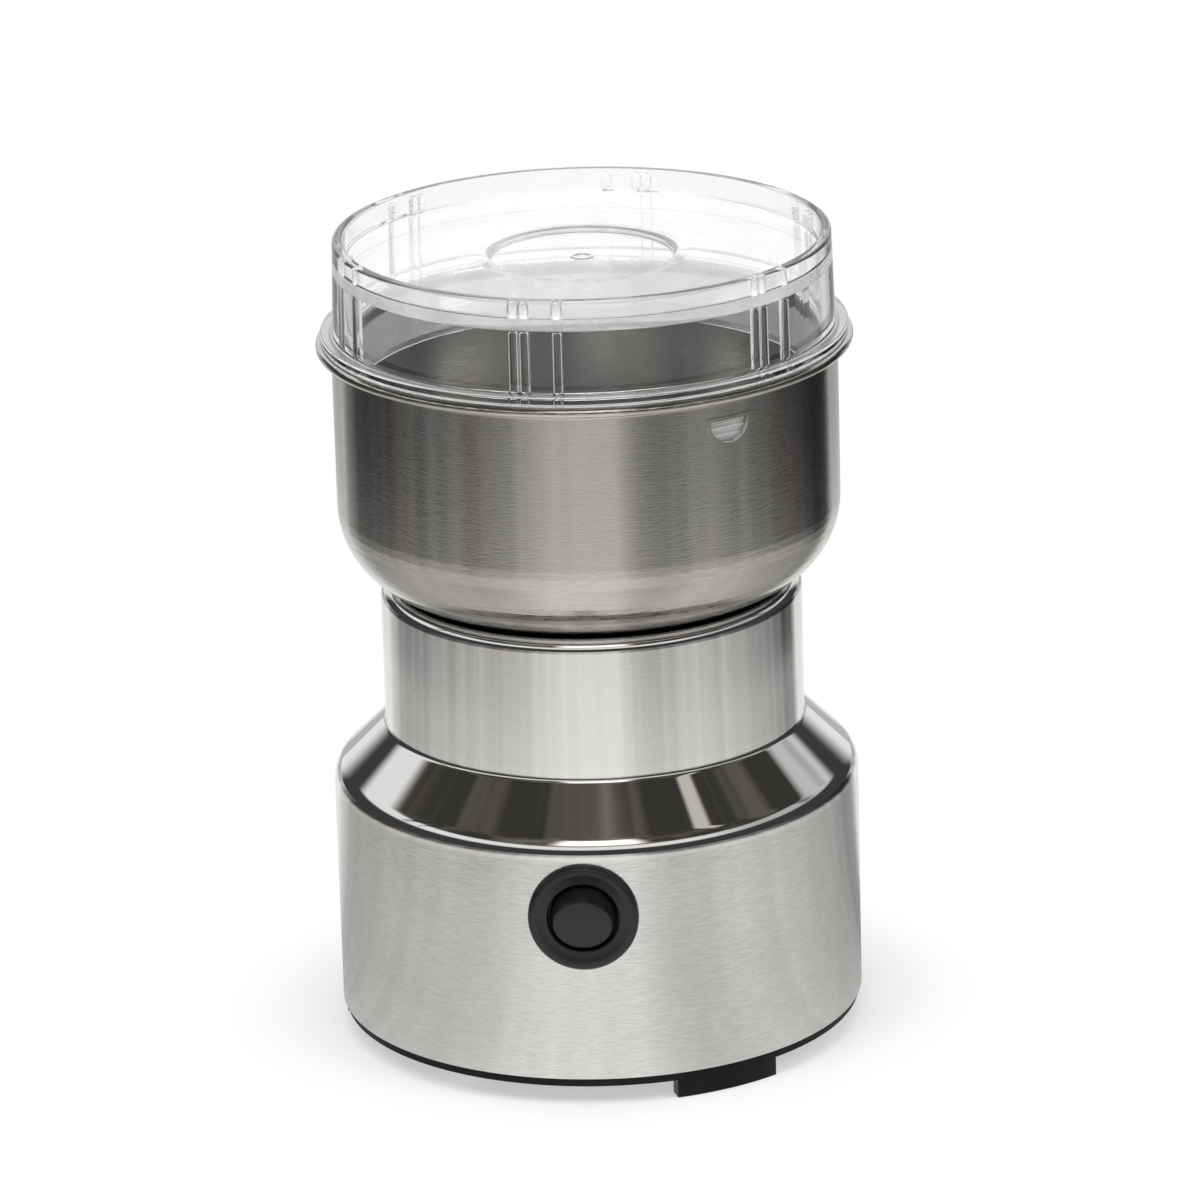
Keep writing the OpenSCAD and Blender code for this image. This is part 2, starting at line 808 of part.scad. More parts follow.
// The lid's outline: disc underside, wall and skirt inside, flange, wall
// outside, tray and round recess
function lid_path() = concat(
    [
        [0, disc_z], [tray_r + 0.2, disc_z],
        [skirt_in_r, flange_z], [skirt_in_r, skirt_z],
        [skirt_r - 0.5, skirt_z], [skirt_r, skirt_z + 1],
        [skirt_r, flange_z]
    ],
    arc(flange_r - 0.4, flange_z + 0.4, 0.4, -90, 0, 3),
    arc(flange_r - 0.4, flange_z + flange_t - 0.4, 0.4, 0, 90, 3),
    arc(lid_low_r + 0.5, flange_z + flange_t + 0.5, 0.5, 270, 180, 3),
    arc(lid_top_r - 0.5, lid_top_z - 0.5, 0.5, 0, 90, 3),
    arc(tray_r + 0.3, lid_top_z - 0.3, 0.3, 90, 180, 2),
    arc(tray_r - 0.6, disc_top_z + 0.6, 0.6, 0, -90, 3),
    [
        [recess_r + 3, disc_top_z], [recess_r + 0.4, disc_top_z - 0.3],
        [recess_r, disc_top_z - recess_d], [2.2, disc_top_z - recess_d],
        [2, disc_top_z - recess_d + 0.3], [1.6, disc_top_z - recess_d + 0.3],
        [1.4, disc_top_z - recess_d], [0, disc_top_z - recess_d]
    ]
);

// A rib on the inside of a wall of radius r
module lid_rib(w, r, z_from, z_to) {
    translate([-w / 2, -r - 0.5, z_from])
        cube([w, rib_d + 0.5, z_to - z_from]);
}

module lid_ribs(azimuth, w) {
    for (i = [0:rib_pairs - 1])
        towards(azimuth + i * 360 / rib_pairs) {
            lid_rib(w, skirt_in_r, skirt_z + 1.5, disc_z + 0.1);
            lid_rib(w, tray_r, disc_top_z - 0.1, lid_top_z - 0.6);
        }
}

// The pocket round a snap tab's ridges, cut into the skirt
module tab_pocket() {
    translate([0, 0, window_mid_z - window_h / 2])
        ring_sector(skirt_r - tab_depth, skirt_r + past, window_h,
            window_w / skirt_r * 180 / PI);
}

module tab_ridges() {
    arc_w = (window_w - 1.5) / skirt_r * 180 / PI;
    for (i = [0:ridge_count - 1])
        translate([0, 0, window_mid_z + (i - (ridge_count - 1) / 2) * ridge_pitch])
            rotate([0, 0, -90 - arc_w / 2])
                rotate_extrude(angle = arc_w)
                    translate([skirt_r - tab_depth - 0.05, 0])
                        circle(r = ridge_r, $fn = 24);
}

module lid() {
    color(CLEAR)
    union() {
        difference() {
            rotate_extrude() polygon(lid_path());
            for (a = [window_azimuth, window_azimuth + 180])
                towards(a) tab_pocket();
        }
        lid_ribs(wide_rib_azimuth, wide_rib_w);
        lid_ribs(wide_rib_azimuth + rib_pitch, narrow_rib_w);
        for (a = [window_azimuth, window_azimuth + 180])
            towards(a) tab_ridges();
    }
}

// The bezel's outline, with its axis as the first coordinate's zero and the
// distance from the grinder's axis as the second
function bezel_path() = concat(
    [
        [barrel_r, barrel_end_y], [barrel_r, base_r - 3],
        [bezel_r, base_r - 3]
    ],
    arc(bezel_r - 0.9, bezel_y - 0.9, 0.9, 0, 90, 5),
    [
        [bezel_r - 1.7, bezel_y - 0.25], [well_r + 0.6, bezel_y - 0.45],
        [well_r + 0.2, bezel_y - 0.6], [well_r, bezel_y - 0.8],
        [well_r, lip_y],
        [well_r + 0.5, lip_y], [well_r + 0.5, barrel_end_y]
    ]
);

module switch_bezel() {
    color(BLACK)
    difference() {
        translate([0, 0, switch_z]) outward()
            rotate_extrude() polygon(bezel_path());
        // The flange is hollowed to sit on the round wall
        difference() {
            cylinder(r = base_r + fit, h = lip_z);
            translate([0, 0, switch_z]) outward()
                cylinder(r = barrel_r + 0.01, h = base_r + past);
        }
    }
}

// The button before its face is cut: a tapered cup with a flange behind the
// bezel's lip and a stem
function button_path() = [
    [0, stem_end_y], [stem_r - 0.3, stem_end_y],
    [stem_r, stem_end_y + 0.3], [stem_r, cap_floor_y],
    [button_r - cap_wall, cap_floor_y], [button_r - cap_wall, cap_back_y],
    [well_r + 0.3, cap_back_y], [well_r + 0.3, lip_y - 0.25],
    [button_r, lip_y - 0.25], [button_r, button_low_y - 0.3],
    [button_face_r - button_taper, button_y + 1], [0, button_y + 1]
];

module button_cap() {
    color(BLACK)
    difference() {
        translate([0, 0, switch_z]) outward()
            rotate_extrude() polygon(button_path());
        // The slant of the button's face
        translate([0, -button_low_y, switch_z - button_r])
            rotate([button_slant, 0, 0])
                translate([-2 * button_r, -2 * button_out, -button_r])
                    cube([4 * button_r, 2 * button_out, 5 * button_r]);
    }
}

module button_spring() {
    color(STEEL)
    translate([0, 0, switch_z]) outward()
        translate([0, 0, barrel_end_y + 0.1])
            spring(3.5, cap_floor_y - barrel_end_y - 0.2, 5, wire_r);
}

module switch_nut() {
    color(BLACK)
    translate([0, 0, switch_z]) outward()
        translate([0, 0, inner_r - 3.5]) difference() {
            cylinder(r = 10.4, h = 2.2, $fn = 6);
            translate([0, 0, -past])
                cylinder(r = barrel_r + fit, h = 2.2 + 2 * past);
        }
}

module switch_body() {
    color(BLACK)
    translate([0, 0, switch_z]) outward()
        translate([0, 0, switch_back_y]) difference() {
            linear_extrude(switch_d) difference() {
                square(switch_w, center = true);
                for (x = [-1, 1], y = [-1, 1])
                    translate([x, y] * switch_w / 2)
                        rotate(45) square(2, center = true);
            }
            translate([0, 0, switch_d - stem_hole_d])
                cylinder(r = stem_r + loose, h = stem_hole_d + past);
        }
}

module switch_terminals() {
    color(BRASS)
    for (x = [-1, 1])
        translate([x * terminal_x, -switch_back_y, switch_z])
            difference() {
                translate([-0.4, 0, -2.4]) cube([0.8, terminal_len, 4.8]);
                translate([-past, terminal_len - 1.8, 0]) rotate([0, 90, 0])
                    cylinder(r = 0.7, h = 2 * past);
            }
}

// The inlet that the mains cord passes through at the back
module cord_inlet() {
    flange_r = inlet_r + 1.6;
    color(RUBBER)
    towards(180) difference() {
        translate([0, 0, inlet_z]) outward()
            rotate_extrude() polygon([
                [inlet_bore_r, base_r + 0.4], [inlet_bore_r + 0.4, base_r + 0.2],
                [inlet_bore_r + 0.4, inner_r - 3], [flange_r, inner_r - 3],
                [flange_r, base_r + 0.9], [flange_r - 0.6, base_r + 1.4],
                [inlet_r + 0.2, base_r + 1.5],
                [inlet_r - 0.1, base_r + inlet_out],
                [inlet_bore_r, base_r + inlet_out]
            ]);
        // The groove that grips the housing's wall
        difference() {
            cylinder(r = base_r + fit, h = shoulder_z);
            cylinder(r = inner_r - fit, h = shoulder_z);
            translate([0, 0, inlet_z]) outward()
                cylinder(r = inlet_r, h = base_r + past);
        }
    }
}

module motor_shaft() {
    color(STEEL)
    rotate_extrude() polygon([
        [0, shaft_z], [shaft_r - 0.4, shaft_z], [shaft_r, shaft_z + 0.4],
        [shaft_r, lower_blade_z - 0.1], [thread_r, lower_blade_z - 0.1],
        [thread_r, shaft_top_z - 0.5], [thread_r - 0.5, shaft_top_z],
        [0, shaft_top_z]
    ]);
}

slot_pcr = armature_r - 3.4;
slot_hole_r = 1.6;

module armature_core() {
    color(DARK_STEEL)
    translate([0, 0, stack_z]) linear_extrude(stack_h) difference() {
        circle(r = armature_r);
        circle(r = shaft_r + fit);
        for (i = [0:slot_count - 1])
            rotate(i * 360 / slot_count) {
                translate([slot_pcr, 0]) circle(r = slot_hole_r, $fn = 24);
                translate([slot_pcr, -0.5]) square([armature_r, 1]);
            }
    }
}

// Copper bars in the slots, joined by the coil ends above and below
module armature_winding() {
    end_out = slot_pcr + slot_hole_r - 0.1;
    end_in = 4.6;
    color(COPPER) {
        for (z = [stack_z - winding_over, stack_top_z + 0.05])
            translate([0, 0, z])
                rotate_extrude() polygon([
                    [end_in, 0.6], [end_in + 1, 0], [end_out - 1.5, 0],
                    [end_out, 1.4], [end_out, winding_over - 1.5],
                    [end_out - 1.5, winding_over - 0.05],
                    [end_in + 1, winding_over - 0.05],
                    [end_in, winding_over - 0.6]
                ]);
        for (i = [0:slot_count - 1])
            rotate([0, 0, i * 360 / slot_count])
                translate([slot_pcr - 0.4, 0, stack_z - 1])
                    cylinder(r = 1, h = stack_h + 2, $fn = 16);
    }
}

module commutator() {
    color(COPPER)
    translate([0, 0, commutator_z]) difference() {
        union() {
            cylinder(r = commutator_r, h = commutator_h);
            translate([0, 0, commutator_h - 1.4])
                cylinder(r = commutator_r + 1, h = 1.4);
        }
        translate([0, 0, -past])
            cylinder(r = shaft_r + fit, h = commutator_h + 2 * past);
        for (i = [0:slot_count - 1])
            rotate([0, 0, (i + 0.5) * 360 / slot_count])
                translate([commutator_r - 1.2, -0.3, -past])
                    cube([3, 0.6, commutator_h + 2 * past]);
    }
}

module cooling_fan() {
    color(BLACK)
    translate([0, 0, fan_z]) difference() {
        union() {
            cylinder(r = 6, h = fan_h);
            translate([0, 0, fan_h - 1.4]) cylinder(r = fan_r, h = 1.4);
            for (i = [0:vane_count - 1])
                rotate([0, 0, i * 360 / vane_count])
                    translate([5, -0.6, 0]) cube([fan_r - 5.5, 1.2, fan_h - 1]);
        }
        translate([0, 0, -past])
            cylinder(r = shaft_r + fit, h = fan_h + 2 * past);
    }
}

module upper_bush() {
    color(BRASS)
    translate([0, 0, upper_bush_z]) ring(bush_r, shaft_r + run, upper_bush_h);
}

module lower_bush() {
    color(BRASS)
    translate([0, 0, lower_bush_z]) ring(bush_r, shaft_r + run, lower_bush_h);
}

// An arm from the bearing boss out to a screw, which ends short of its hole
module bracket_arm(len, w, z) {
    translate([-w / 2, -len + 2.4, z])
        cube([w, len - 2.4 - bearing_boss_r + 1.5, bracket_t]);
}

// The bracket that hangs from the deck, with ears, posts and a bearing boss
module upper_bracket() {
    color(DARK_STEEL)
    difference() {
        union() {
            translate([0, 0, bracket_z]) cylinder(r = 13, h = bracket_t);
            translate([0, 0, upper_bush_z])
                cylinder(r = bearing_boss_r, h = upper_bush_h);
            for (a = bowl_screw_azimuths)
                towards(a) bracket_arm(bowl_screw_pcr, 8, bracket_z);
            for (a = bowl_screw_azimuths)
                translate(at(bowl_screw_pcr, a, bracket_z))
                    cylinder(r = 5, h = bracket_t);
            for (a = [post_azimuth, post_azimuth + 180]) {
                towards(a) bracket_arm(post_r, 6.8, bracket_z);
                translate(at(post_r, a, stack_top_z))
                    cylinder(r = post_boss_r, h = bracket_top_z - stack_top_z);
            }
        }
        translate([0, 0, upper_bush_z - past])
            cylinder(r = bush_r + fit, h = upper_bush_h + 2 * past);
        for (a = bowl_screw_azimuths)
            translate(at(bowl_screw_pcr, a, bracket_z - past))
                cylinder(r = bowl_screw_r + fit, h = bracket_t + 2 * past);
        for (a = [post_azimuth, post_azimuth + 180])
            translate(at(post_r, a, stack_top_z - past))
                cylinder(r = motor_screw_r + fit, h = 30);
    }
}

// The bracket below the field stack, which carries the brush holders
module lower_bracket() {
    seat_h = brush_z - brush_h / 2 - brush_gap - holder_wall
        - lower_plate_top_z - fit;
    color(DARK_STEEL)
    difference() {
        union() {
            translate([0, 0, lower_plate_z]) cylinder(r = 13, h = bracket_t);
            translate([0, 0, lower_bush_z])
                cylinder(r = bearing_boss_r, h = lower_bush_h);
            for (a = [post_azimuth, post_azimuth + 180]) {
                towards(a) bracket_arm(post_r, 6.8, lower_plate_z);
                translate(at(post_r, a, lower_plate_z))
                    cylinder(r = post_boss_r, h = stack_z - lower_plate_z);
            }
            for (a = pole_azimuths)
                towards(a) {
                    bracket_arm(33.4, 10, lower_plate_z);
                    translate([-3, -30, lower_plate_top_z - 0.1])
                        cube([6, 14, seat_h + 0.1]);
                }
        }
        translate([0, 0, lower_bush_z - past])
            cylinder(r = bush_r + fit, h = lower_bush_h + 2 * past);
        for (a = [post_azimuth, post_azimuth + 180])
            translate(at(post_r, a, lower_plate_z - past))
                cylinder(r = motor_screw_r + fit, h = 60);
    }
}

coil_arc = 58;
leg_arc = 16;

module field_core() {
    gap = 0.4;
    slot_arc = leg_arc + 2.4;
    color(DARK_STEEL)
    rotate([0, 0, post_azimuth]) translate([0, 0, stack_z])
    difference() {
        intersection() {
            translate([-stack_w / 2, -stack_d / 2, 0])
                cube([stack_w, stack_d, stack_h]);
            cylinder(r = stack_r, h = stack_h);
        }
        translate([0, 0, -past]) cylinder(r = bore_r, h = stack_h + 2 * past);
        for (pole = [90, 270], side = [-1, 1])
            translate([0, 0, -past])
                ring_sector(coil_r - coil_t - gap, coil_r + gap,
                    stack_h + 2 * past, slot_arc,
                    pole + side * (coil_arc - leg_arc / 2));
        for (a = [0, 180])
            translate(at(post_r, a, -past))
                cylinder(r = motor_screw_r + 0.15, h = stack_h + 2 * past);
    }
}

// A field coil: two legs through the stack and an arc over each end of it
module field_coil(azimuth) {
    coil_in = coil_r - coil_t;
    color(COPPER)
    difference() {
        translate([0, 0, stack_z - coil_over])
            ring_sector(coil_in, coil_r, stack_h + 2 * coil_over,
                2 * coil_arc, azimuth);
        translate([0, 0, stack_z - 0.3])
            ring_sector(coil_in - past, coil_r + past, stack_h + 0.6,
                2 * (coil_arc - leg_arc), azimuth);
    }
}

module field_coil_right() {
    field_coil(pole_azimuths[0]);
}

module field_coil_left() {
    field_coil(pole_azimuths[1]);
}

brush_from = commutator_r + 0.1;
brush_gap = 0.15;
holder_from = commutator_r + 2.8;
holder_to = holder_from + holder_len;

module brush(azimuth) {
    color(BLACK)
    towards(azimuth)
        translate([-brush_w / 2, -brush_from - brush_len, brush_z - brush_h / 2])
            cube([brush_w, brush_len, brush_h]);
}

module brush_right() {
    brush(pole_azimuths[0]);
}

module brush_left() {
    brush(pole_azimuths[1]);
}

module brush_holder(azimuth) {
    w = brush_w + 2 * (brush_gap + holder_wall);
    h = brush_h + 2 * (brush_gap + holder_wall);
    color(BRASS)
    towards(azimuth) difference() {
        translate([-w / 2, -holder_to, brush_z - h / 2])
            cube([w, holder_len, h]);
        translate([-w / 2 + holder_wall, -holder_to + 1, brush_z - h / 2 + holder_wall])
            cube([w - 2 * holder_wall, holder_len, h - 2 * holder_wall]);
    }
}

module brush_holder_right() {
    brush_holder(pole_azimuths[0]);
}

module brush_holder_left() {
    brush_holder(pole_azimuths[1]);
}

module brush_spring(azimuth) {
    from = brush_from + brush_len + 0.1;
    color(STEEL)
    towards(azimuth) translate([0, 0, brush_z]) outward()
        translate([0, 0, from])
            spring(1.9, holder_to - 1.1 - from, 7, wire_r);
}

module brush_spring_right() {
    brush_spring(pole_azimuths[0]);
}

module brush_spring_left() {
    brush_spring(pole_azimuths[1]);
}

// Two long screws that clamp the brackets to the field stack
module motor_screws() {
    color(STEEL)
    for (a = [post_azimuth, post_azimuth + 180])
        translate(at(post_r, a, lower_plate_z)) mirror([0, 0, 1])
            pan_screw(motor_screw_r, 3.4, 2, bracket_top_z - lower_plate_z - 0.2);
}

module motor_dampers() {
    color(RUBBER)
    for (a = bowl_screw_azimuths)
        translate(at(bowl_screw_pcr, a, bracket_top_z))
            ring(5, bowl_screw_r + 0.15, damper_t);
}

module thermal_fuse() {
    fuse_r = 1.8;
    color(CREAM)
    towards(pole_azimuths[1])
        translate([-5.5, -coil_r - fuse_r - 0.15, stack_top_z + fuse_r + 0.3])
            rotate([0, 90, 0]) cylinder(r = fuse_r, h = 11);
}

module terminal_block() {
    color(CREAM)
    towards(block_azimuth) translate([0, -block_r, floor_top_z])
        difference() {
            translate([-block_w / 2, -block_d / 2, 0])
                cube([block_w, block_d, block_h]);
            for (x = [-block_w / 4, block_w / 4]) {
                translate([x, 0, block_h - clamp_d])
                    cylinder(r = 2.6, h = clamp_d + past);
                translate([x, -block_d, 4.5]) rotate([-90, 0, 0])
                    cylinder(r = 1.8, h = 2 * block_d);
            }
        }
}

module capacitor() {
    color(BRASS)
    towards(capacitor_azimuth)
        translate([
            -capacitor_w / 2, -capacitor_pcr - capacitor_d / 2, floor_top_z
        ])
            cube([capacitor_w, capacitor_d, capacitor_h]);
}

// Each lead's middle stays this far from what it is joined to, and its cut
// ends stay end_gap away
lead_gap = lead_r + 0.1;
end_gap = 0.15;
clamp_d = 3;
block_arc = asin(block_w / 4 / block_r);
block_left = block_azimuth - block_arc;
block_right = block_azimuth + block_arc;
clamp_z = block_top_z - clamp_d + end_gap;
run_z = block_top_z + 6;
terminal_y = switch_back_y - terminal_len - lead_gap;

module lead_block_to_switch() {
    color(BROWN)
    wire_along(concat(
        [
            at(block_r, block_right, clamp_z),
            at(block_r, block_right, block_top_z + 1)
        ],
        round_run(block_r + 0.5, run_z, block_right + 4, 350, 10),
        [
            [-terminal_x, -terminal_y, run_z + 3],
            [-terminal_x, -terminal_y, switch_z]
        ]
    ), lead_r);
}

module lead_switch_to_coil() {
    coil_low_z = stack_z - coil_over - lead_gap;
    color(BROWN)
    wire_along([
        [terminal_x, -terminal_y, switch_z],
        [terminal_x, -terminal_y + 1, coil_low_z - 2],
        at(coil_r - 3, post_azimuth + 325, coil_low_z - 0.6),
        at(coil_r - 3, post_azimuth + 320, coil_low_z)
    ], lead_r);
}

module lead_block_to_brush() {
    a = pole_azimuths[1];
    color(BLUE)
    wire_along(concat(
        [
            at(block_r - lead_gap - 0.1, block_left, clamp_z),
            at(block_r - lead_gap - 0.1, block_left, block_top_z + 2)
        ],
        round_run(block_r - 2, run_z + 7, block_left + 4, a, 8),
        [
            at(holder_to + lead_gap, a, brush_z - 2),
            at(holder_to + lead_gap, a, brush_z)
        ]
    ), lead_r);
}

module lead_brush_to_coil() {
    a = pole_azimuths[0];
    color(BLUE)
    wire_along([
        at(holder_to + lead_gap, a, brush_z),
        at(holder_to + lead_gap, a, stack_z - 4),
        at(coil_r + end_gap, a, stack_z - 4)
    ], lead_r);
}

module lead_capacitor() {
    over_z = capacitor_top_z + 3;
    color(GREY)
    wire_along(concat(
        [
            at(capacitor_pcr, capacitor_azimuth + 6, capacitor_top_z + end_gap),
            at(capacitor_pcr, capacitor_azimuth + 6, over_z)
        ],
        round_run(block_r + 2, over_z, capacitor_azimuth + 14,
            block_left - 6, 8),
        [
            at(block_r + lead_gap + 0.1, block_left, block_top_z + 2),
            at(block_r + lead_gap + 0.1, block_left, clamp_z)
        ]
    ), lead_r);
}

lid();
bowl();
bowl_gasket();
bowl_screws();
shaft_seal();
drive_collar();
lower_blade();
upper_blade();
blade_washer();
blade_nut();
housing_shell();
mounting_tabs();
base_plate();
base_screws();
switch_bezel();
button_cap();
button_spring();
switch_nut();
switch_body();
switch_terminals();
cord_inlet();
motor_shaft();
armature_core();
armature_winding();
commutator();
cooling_fan();
upper_bush();
lower_bush();
upper_bracket();
lower_bracket();
field_core();
field_coil_right();
field_coil_left();
brush_right();
brush_left();
brush_holder_right();
brush_holder_left();
brush_spring_right();
brush_spring_left();
motor_screws();
motor_dampers();
thermal_fuse();
terminal_block();
capacitor();
lead_block_to_switch();
lead_switch_to_coil();
lead_block_to_brush();
lead_brush_to_coil();
lead_capacitor();
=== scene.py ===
import json
import math

import bpy
from mathutils import Matrix, Vector


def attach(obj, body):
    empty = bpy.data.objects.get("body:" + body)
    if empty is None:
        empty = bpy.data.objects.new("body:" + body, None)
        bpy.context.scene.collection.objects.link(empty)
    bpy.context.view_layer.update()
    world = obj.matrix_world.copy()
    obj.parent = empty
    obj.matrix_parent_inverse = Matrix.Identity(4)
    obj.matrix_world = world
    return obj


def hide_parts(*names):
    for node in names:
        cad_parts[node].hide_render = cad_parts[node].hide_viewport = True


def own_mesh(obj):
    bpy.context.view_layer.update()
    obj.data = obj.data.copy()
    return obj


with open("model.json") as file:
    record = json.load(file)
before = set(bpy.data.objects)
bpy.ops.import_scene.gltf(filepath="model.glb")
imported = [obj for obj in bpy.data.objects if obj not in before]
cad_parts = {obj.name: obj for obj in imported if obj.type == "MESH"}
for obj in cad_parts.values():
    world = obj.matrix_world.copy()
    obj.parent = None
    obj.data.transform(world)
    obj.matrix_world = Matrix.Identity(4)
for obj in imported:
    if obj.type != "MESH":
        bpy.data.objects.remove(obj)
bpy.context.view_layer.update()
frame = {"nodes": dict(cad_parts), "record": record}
nodes = frame["nodes"]
MM = 0.001

# Sizes of the grinder, in millimetres, as its solids have them
base_r, neck_r, shell_t = 50.0, 39.9, 0.7
foot_h, rim_h = 3.5, 1.7
shell_z = foot_h + rim_h
shoulder_z = shell_z + 43.7
lean_deg = 46
lean = math.radians(lean_deg)
edge_r, hollow_r = 5.0, 1.4
neck_z = shoulder_z + (edge_r + hollow_r) * math.sin(lean) + math.cos(lean) / math.sin(lean) * (
    base_r - neck_r - (edge_r + hollow_r) * (1 - math.cos(lean)))
lip_r = 2.3
neck_top_z = neck_z + 24.3
lip_z = neck_top_z + lip_r
deck_z = lip_z - 1.3
deck_r, deck_hole_r, bowl_hole_r = 35.75, 15.5, 7.2
bowl_z = deck_z + 0.7
bowl_r, bowl_t, bowl_round_r = 47.5, 0.8, 16.5
rim_z = bowl_z + 48.6
rim_r, roll_t, mouth_r = bowl_r + 2.9, 1.9, 1.4
switch_z, inlet_z = shell_z + 32.5, shell_z + 10.8
barrel_r, inlet_r = 7.7, 4.5
flange_z, flange_r, flange_t = rim_z + 0.1, 49.5, 1.7
wall_foot_r, wall_top_r = 47.1, 46.6
lid_top_z = rim_z + 19.3
disc_top_z = lid_top_z - 4.0
disc_z = disc_top_z - 2.1
skirt_z, skirt_r = flange_z - 11.5, bowl_r - bowl_t - 0.3
skirt_in_r, tray_r = skirt_r - 1.5, 44.6
window_r, window_h, window_drop = 5.0, 6.0, 5.0
window_z = rim_z - window_drop - window_h / 2
window_azimuths = (37, 217)
# The camera's azimuth, which the surroundings are set out from
view_azimuth = 3.7


# Working in edit mode

def pick(piece):
    """Leaves one piece selected and active."""
    bpy.ops.object.select_all(action="DESELECT")
    piece.select_set(True)
    bpy.context.view_layer.objects.active = piece
    return piece


def settle(piece, name, slot, *stands_for, body="housing", finish=None, smooth=35):
    """Ends work on a piece: shading, name, body and finish, and the solids that it stands for."""
    pick(piece)
    bpy.ops.object.shade_smooth_by_angle(angle=math.radians(smooth))
    piece.name = piece.data.name = name
    piece.data.materials.clear()
    piece.data.materials.append(finishes[finish or slot])
    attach(piece, body)
    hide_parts(*stands_for)
    return piece


def curve(cx, cz, r, start, end, steps=8):
    """Points of an arc in the plane of an outline."""
    angles = [math.radians(start + (end - start) * i / steps) for i in range(steps + 1)]
    return [(cx + r * math.cos(a), cz + r * math.sin(a)) for a in angles]


def held(outline, closed):
    """An outline with a point close to both ends of each long side, so that flats stay flat when shaded."""
    edge, long_side = 0.25, 1.2
    points = []
    for a, b in zip(outline, outline[1:] + outline[:1] if closed else outline[1:]):
        points.append(a)
        run = math.dist(a, b)
        if run > long_side:
            for t in (edge / run, 1 - edge / run):
                points.append((a[0] + (b[0] - a[0]) * t, a[1] + (b[1] - a[1]) * t))
    return points if closed else points + [outline[-1]]


def turned(outline, steps, closed=True, place=None):
    """Draws an outline of (radius, height) edge by edge and spins it about the vertical axis.
    place turns it from there to where it belongs."""
    points = [Vector((x, 0, z)) * MM for x, z in held(outline, closed)]
    if closed:
        points.append(points[0])
    bpy.ops.object.select_all(action="DESELECT")
    bpy.ops.mesh.primitive_plane_add(size=MM, location=points[0])
    bpy.ops.object.mode_set(mode="EDIT")
    bpy.ops.mesh.select_all(action="SELECT")
    bpy.ops.mesh.merge(type="CENTER")
    for a, b in zip(points, points[1:]):
        bpy.ops.mesh.extrude_region_move(TRANSFORM_OT_translate={"value": b - a})
    bpy.ops.mesh.select_all(action="SELECT")
    bpy.ops.mesh.spin(steps=steps, angle=2 * math.pi, center=(0, 0, 0), axis=(0, 0, 1))
    bpy.ops.mesh.select_all(action="SELECT")
    bpy.ops.mesh.remove_doubles(threshold=0.004 * MM)
    bpy.ops.mesh.normals_make_consistent(inside=False)
    bpy.ops.object.mode_set(mode="OBJECT")
    piece = bpy.context.object
    bpy.ops.object.transform_apply(location=True, rotation=True, scale=True)
    if place is not None:
        piece.data.transform(place)
    return piece


def outward(azimuth, z):
    """From the vertical axis to a line that runs out of the grinder at an azimuth and a height."""
    return (Matrix.Translation((0, 0, z * MM)) @ Matrix.Rotation(math.radians(azimuth), 4, "Z")
            @ Matrix.Rotation(math.radians(90), 4, "X"))


def block(size, centre, bevel, azimuth, segments=2):
    """A cube made to size and place with its edges bevelled, turned to an azimuth."""
    bpy.ops.object.select_all(action="DESELECT")
    bpy.ops.mesh.primitive_cube_add(size=1, location=Vector(centre) * MM, scale=Vector(size) * MM)
    bpy.ops.object.transform_apply(location=True, rotation=True, scale=True)
    bpy.ops.object.mode_set(mode="EDIT")
    bpy.ops.mesh.select_all(action="SELECT")
    if bevel:
        bpy.ops.mesh.bevel(offset=bevel * MM, segments=segments, affect="EDGES")
    bpy.ops.object.mode_set(mode="OBJECT")
    piece = bpy.context.object
    piece.data.transform(Matrix.Rotation(math.radians(azimuth), 4, "Z"))
    return piece


def joined(pieces):
    """Several pieces as one."""
    first = pick(pieces[0])
    for piece in pieces:
        piece.select_set(True)
    bpy.ops.object.join()
    return first


def carve(piece, tool, how="DIFFERENCE"):
    """Cuts a tool out of a piece, or unites them, and clears the tool away."""
    step = piece.modifiers.new("carve", "BOOLEAN")
    step.operation, step.object, step.solver = how, tool, "EXACT"
    pick(piece)
    bpy.ops.object.modifier_apply(modifier=step.name)
    bpy.data.objects.remove(tool)
    return piece


def rod(r, start, end, azimuth, z):
    """A round bar that runs out along an azimuth at a height."""
    bpy.ops.object.select_all(action="DESELECT")
    bpy.ops.mesh.primitive_cylinder_add(vertices=64, radius=r * MM, depth=(end - start) * MM,
                                        location=(0, 0, (start + end) / 2 * MM))
    bpy.ops.object.transform_apply(location=True, rotation=True, scale=True)
    piece = bpy.context.object
    piece.data.transform(outward(azimuth, z))
    return piece


def softened(name, width, slot, body="housing", finish=None, smooth=24):
    """A copy of a solid with its doubles merged, its flats dissolved and its edges rounded."""
    piece = bpy.data.objects.new(name, nodes[name].data.copy())
    bpy.context.scene.collection.objects.link(piece)
    pick(piece)
    bpy.ops.object.mode_set(mode="EDIT")
    bpy.ops.mesh.select_all(action="SELECT")
    bpy.ops.mesh.remove_doubles(threshold=0.002 * MM)
    bpy.ops.mesh.dissolve_limited(angle_limit=math.radians(0.4))
    bpy.ops.object.mode_set(mode="OBJECT")
    if width:
        step = piece.modifiers.new("edges", "BEVEL")
        step.width, step.segments = width * MM, 2
        step.limit_method, step.angle_limit = "ANGLE", math.radians(30)
        bpy.ops.object.modifier_apply(modifier=step.name)
    return settle(piece, name + "_rounded", slot, name, body=body, finish=finish, smooth=smooth)


# Shader maths

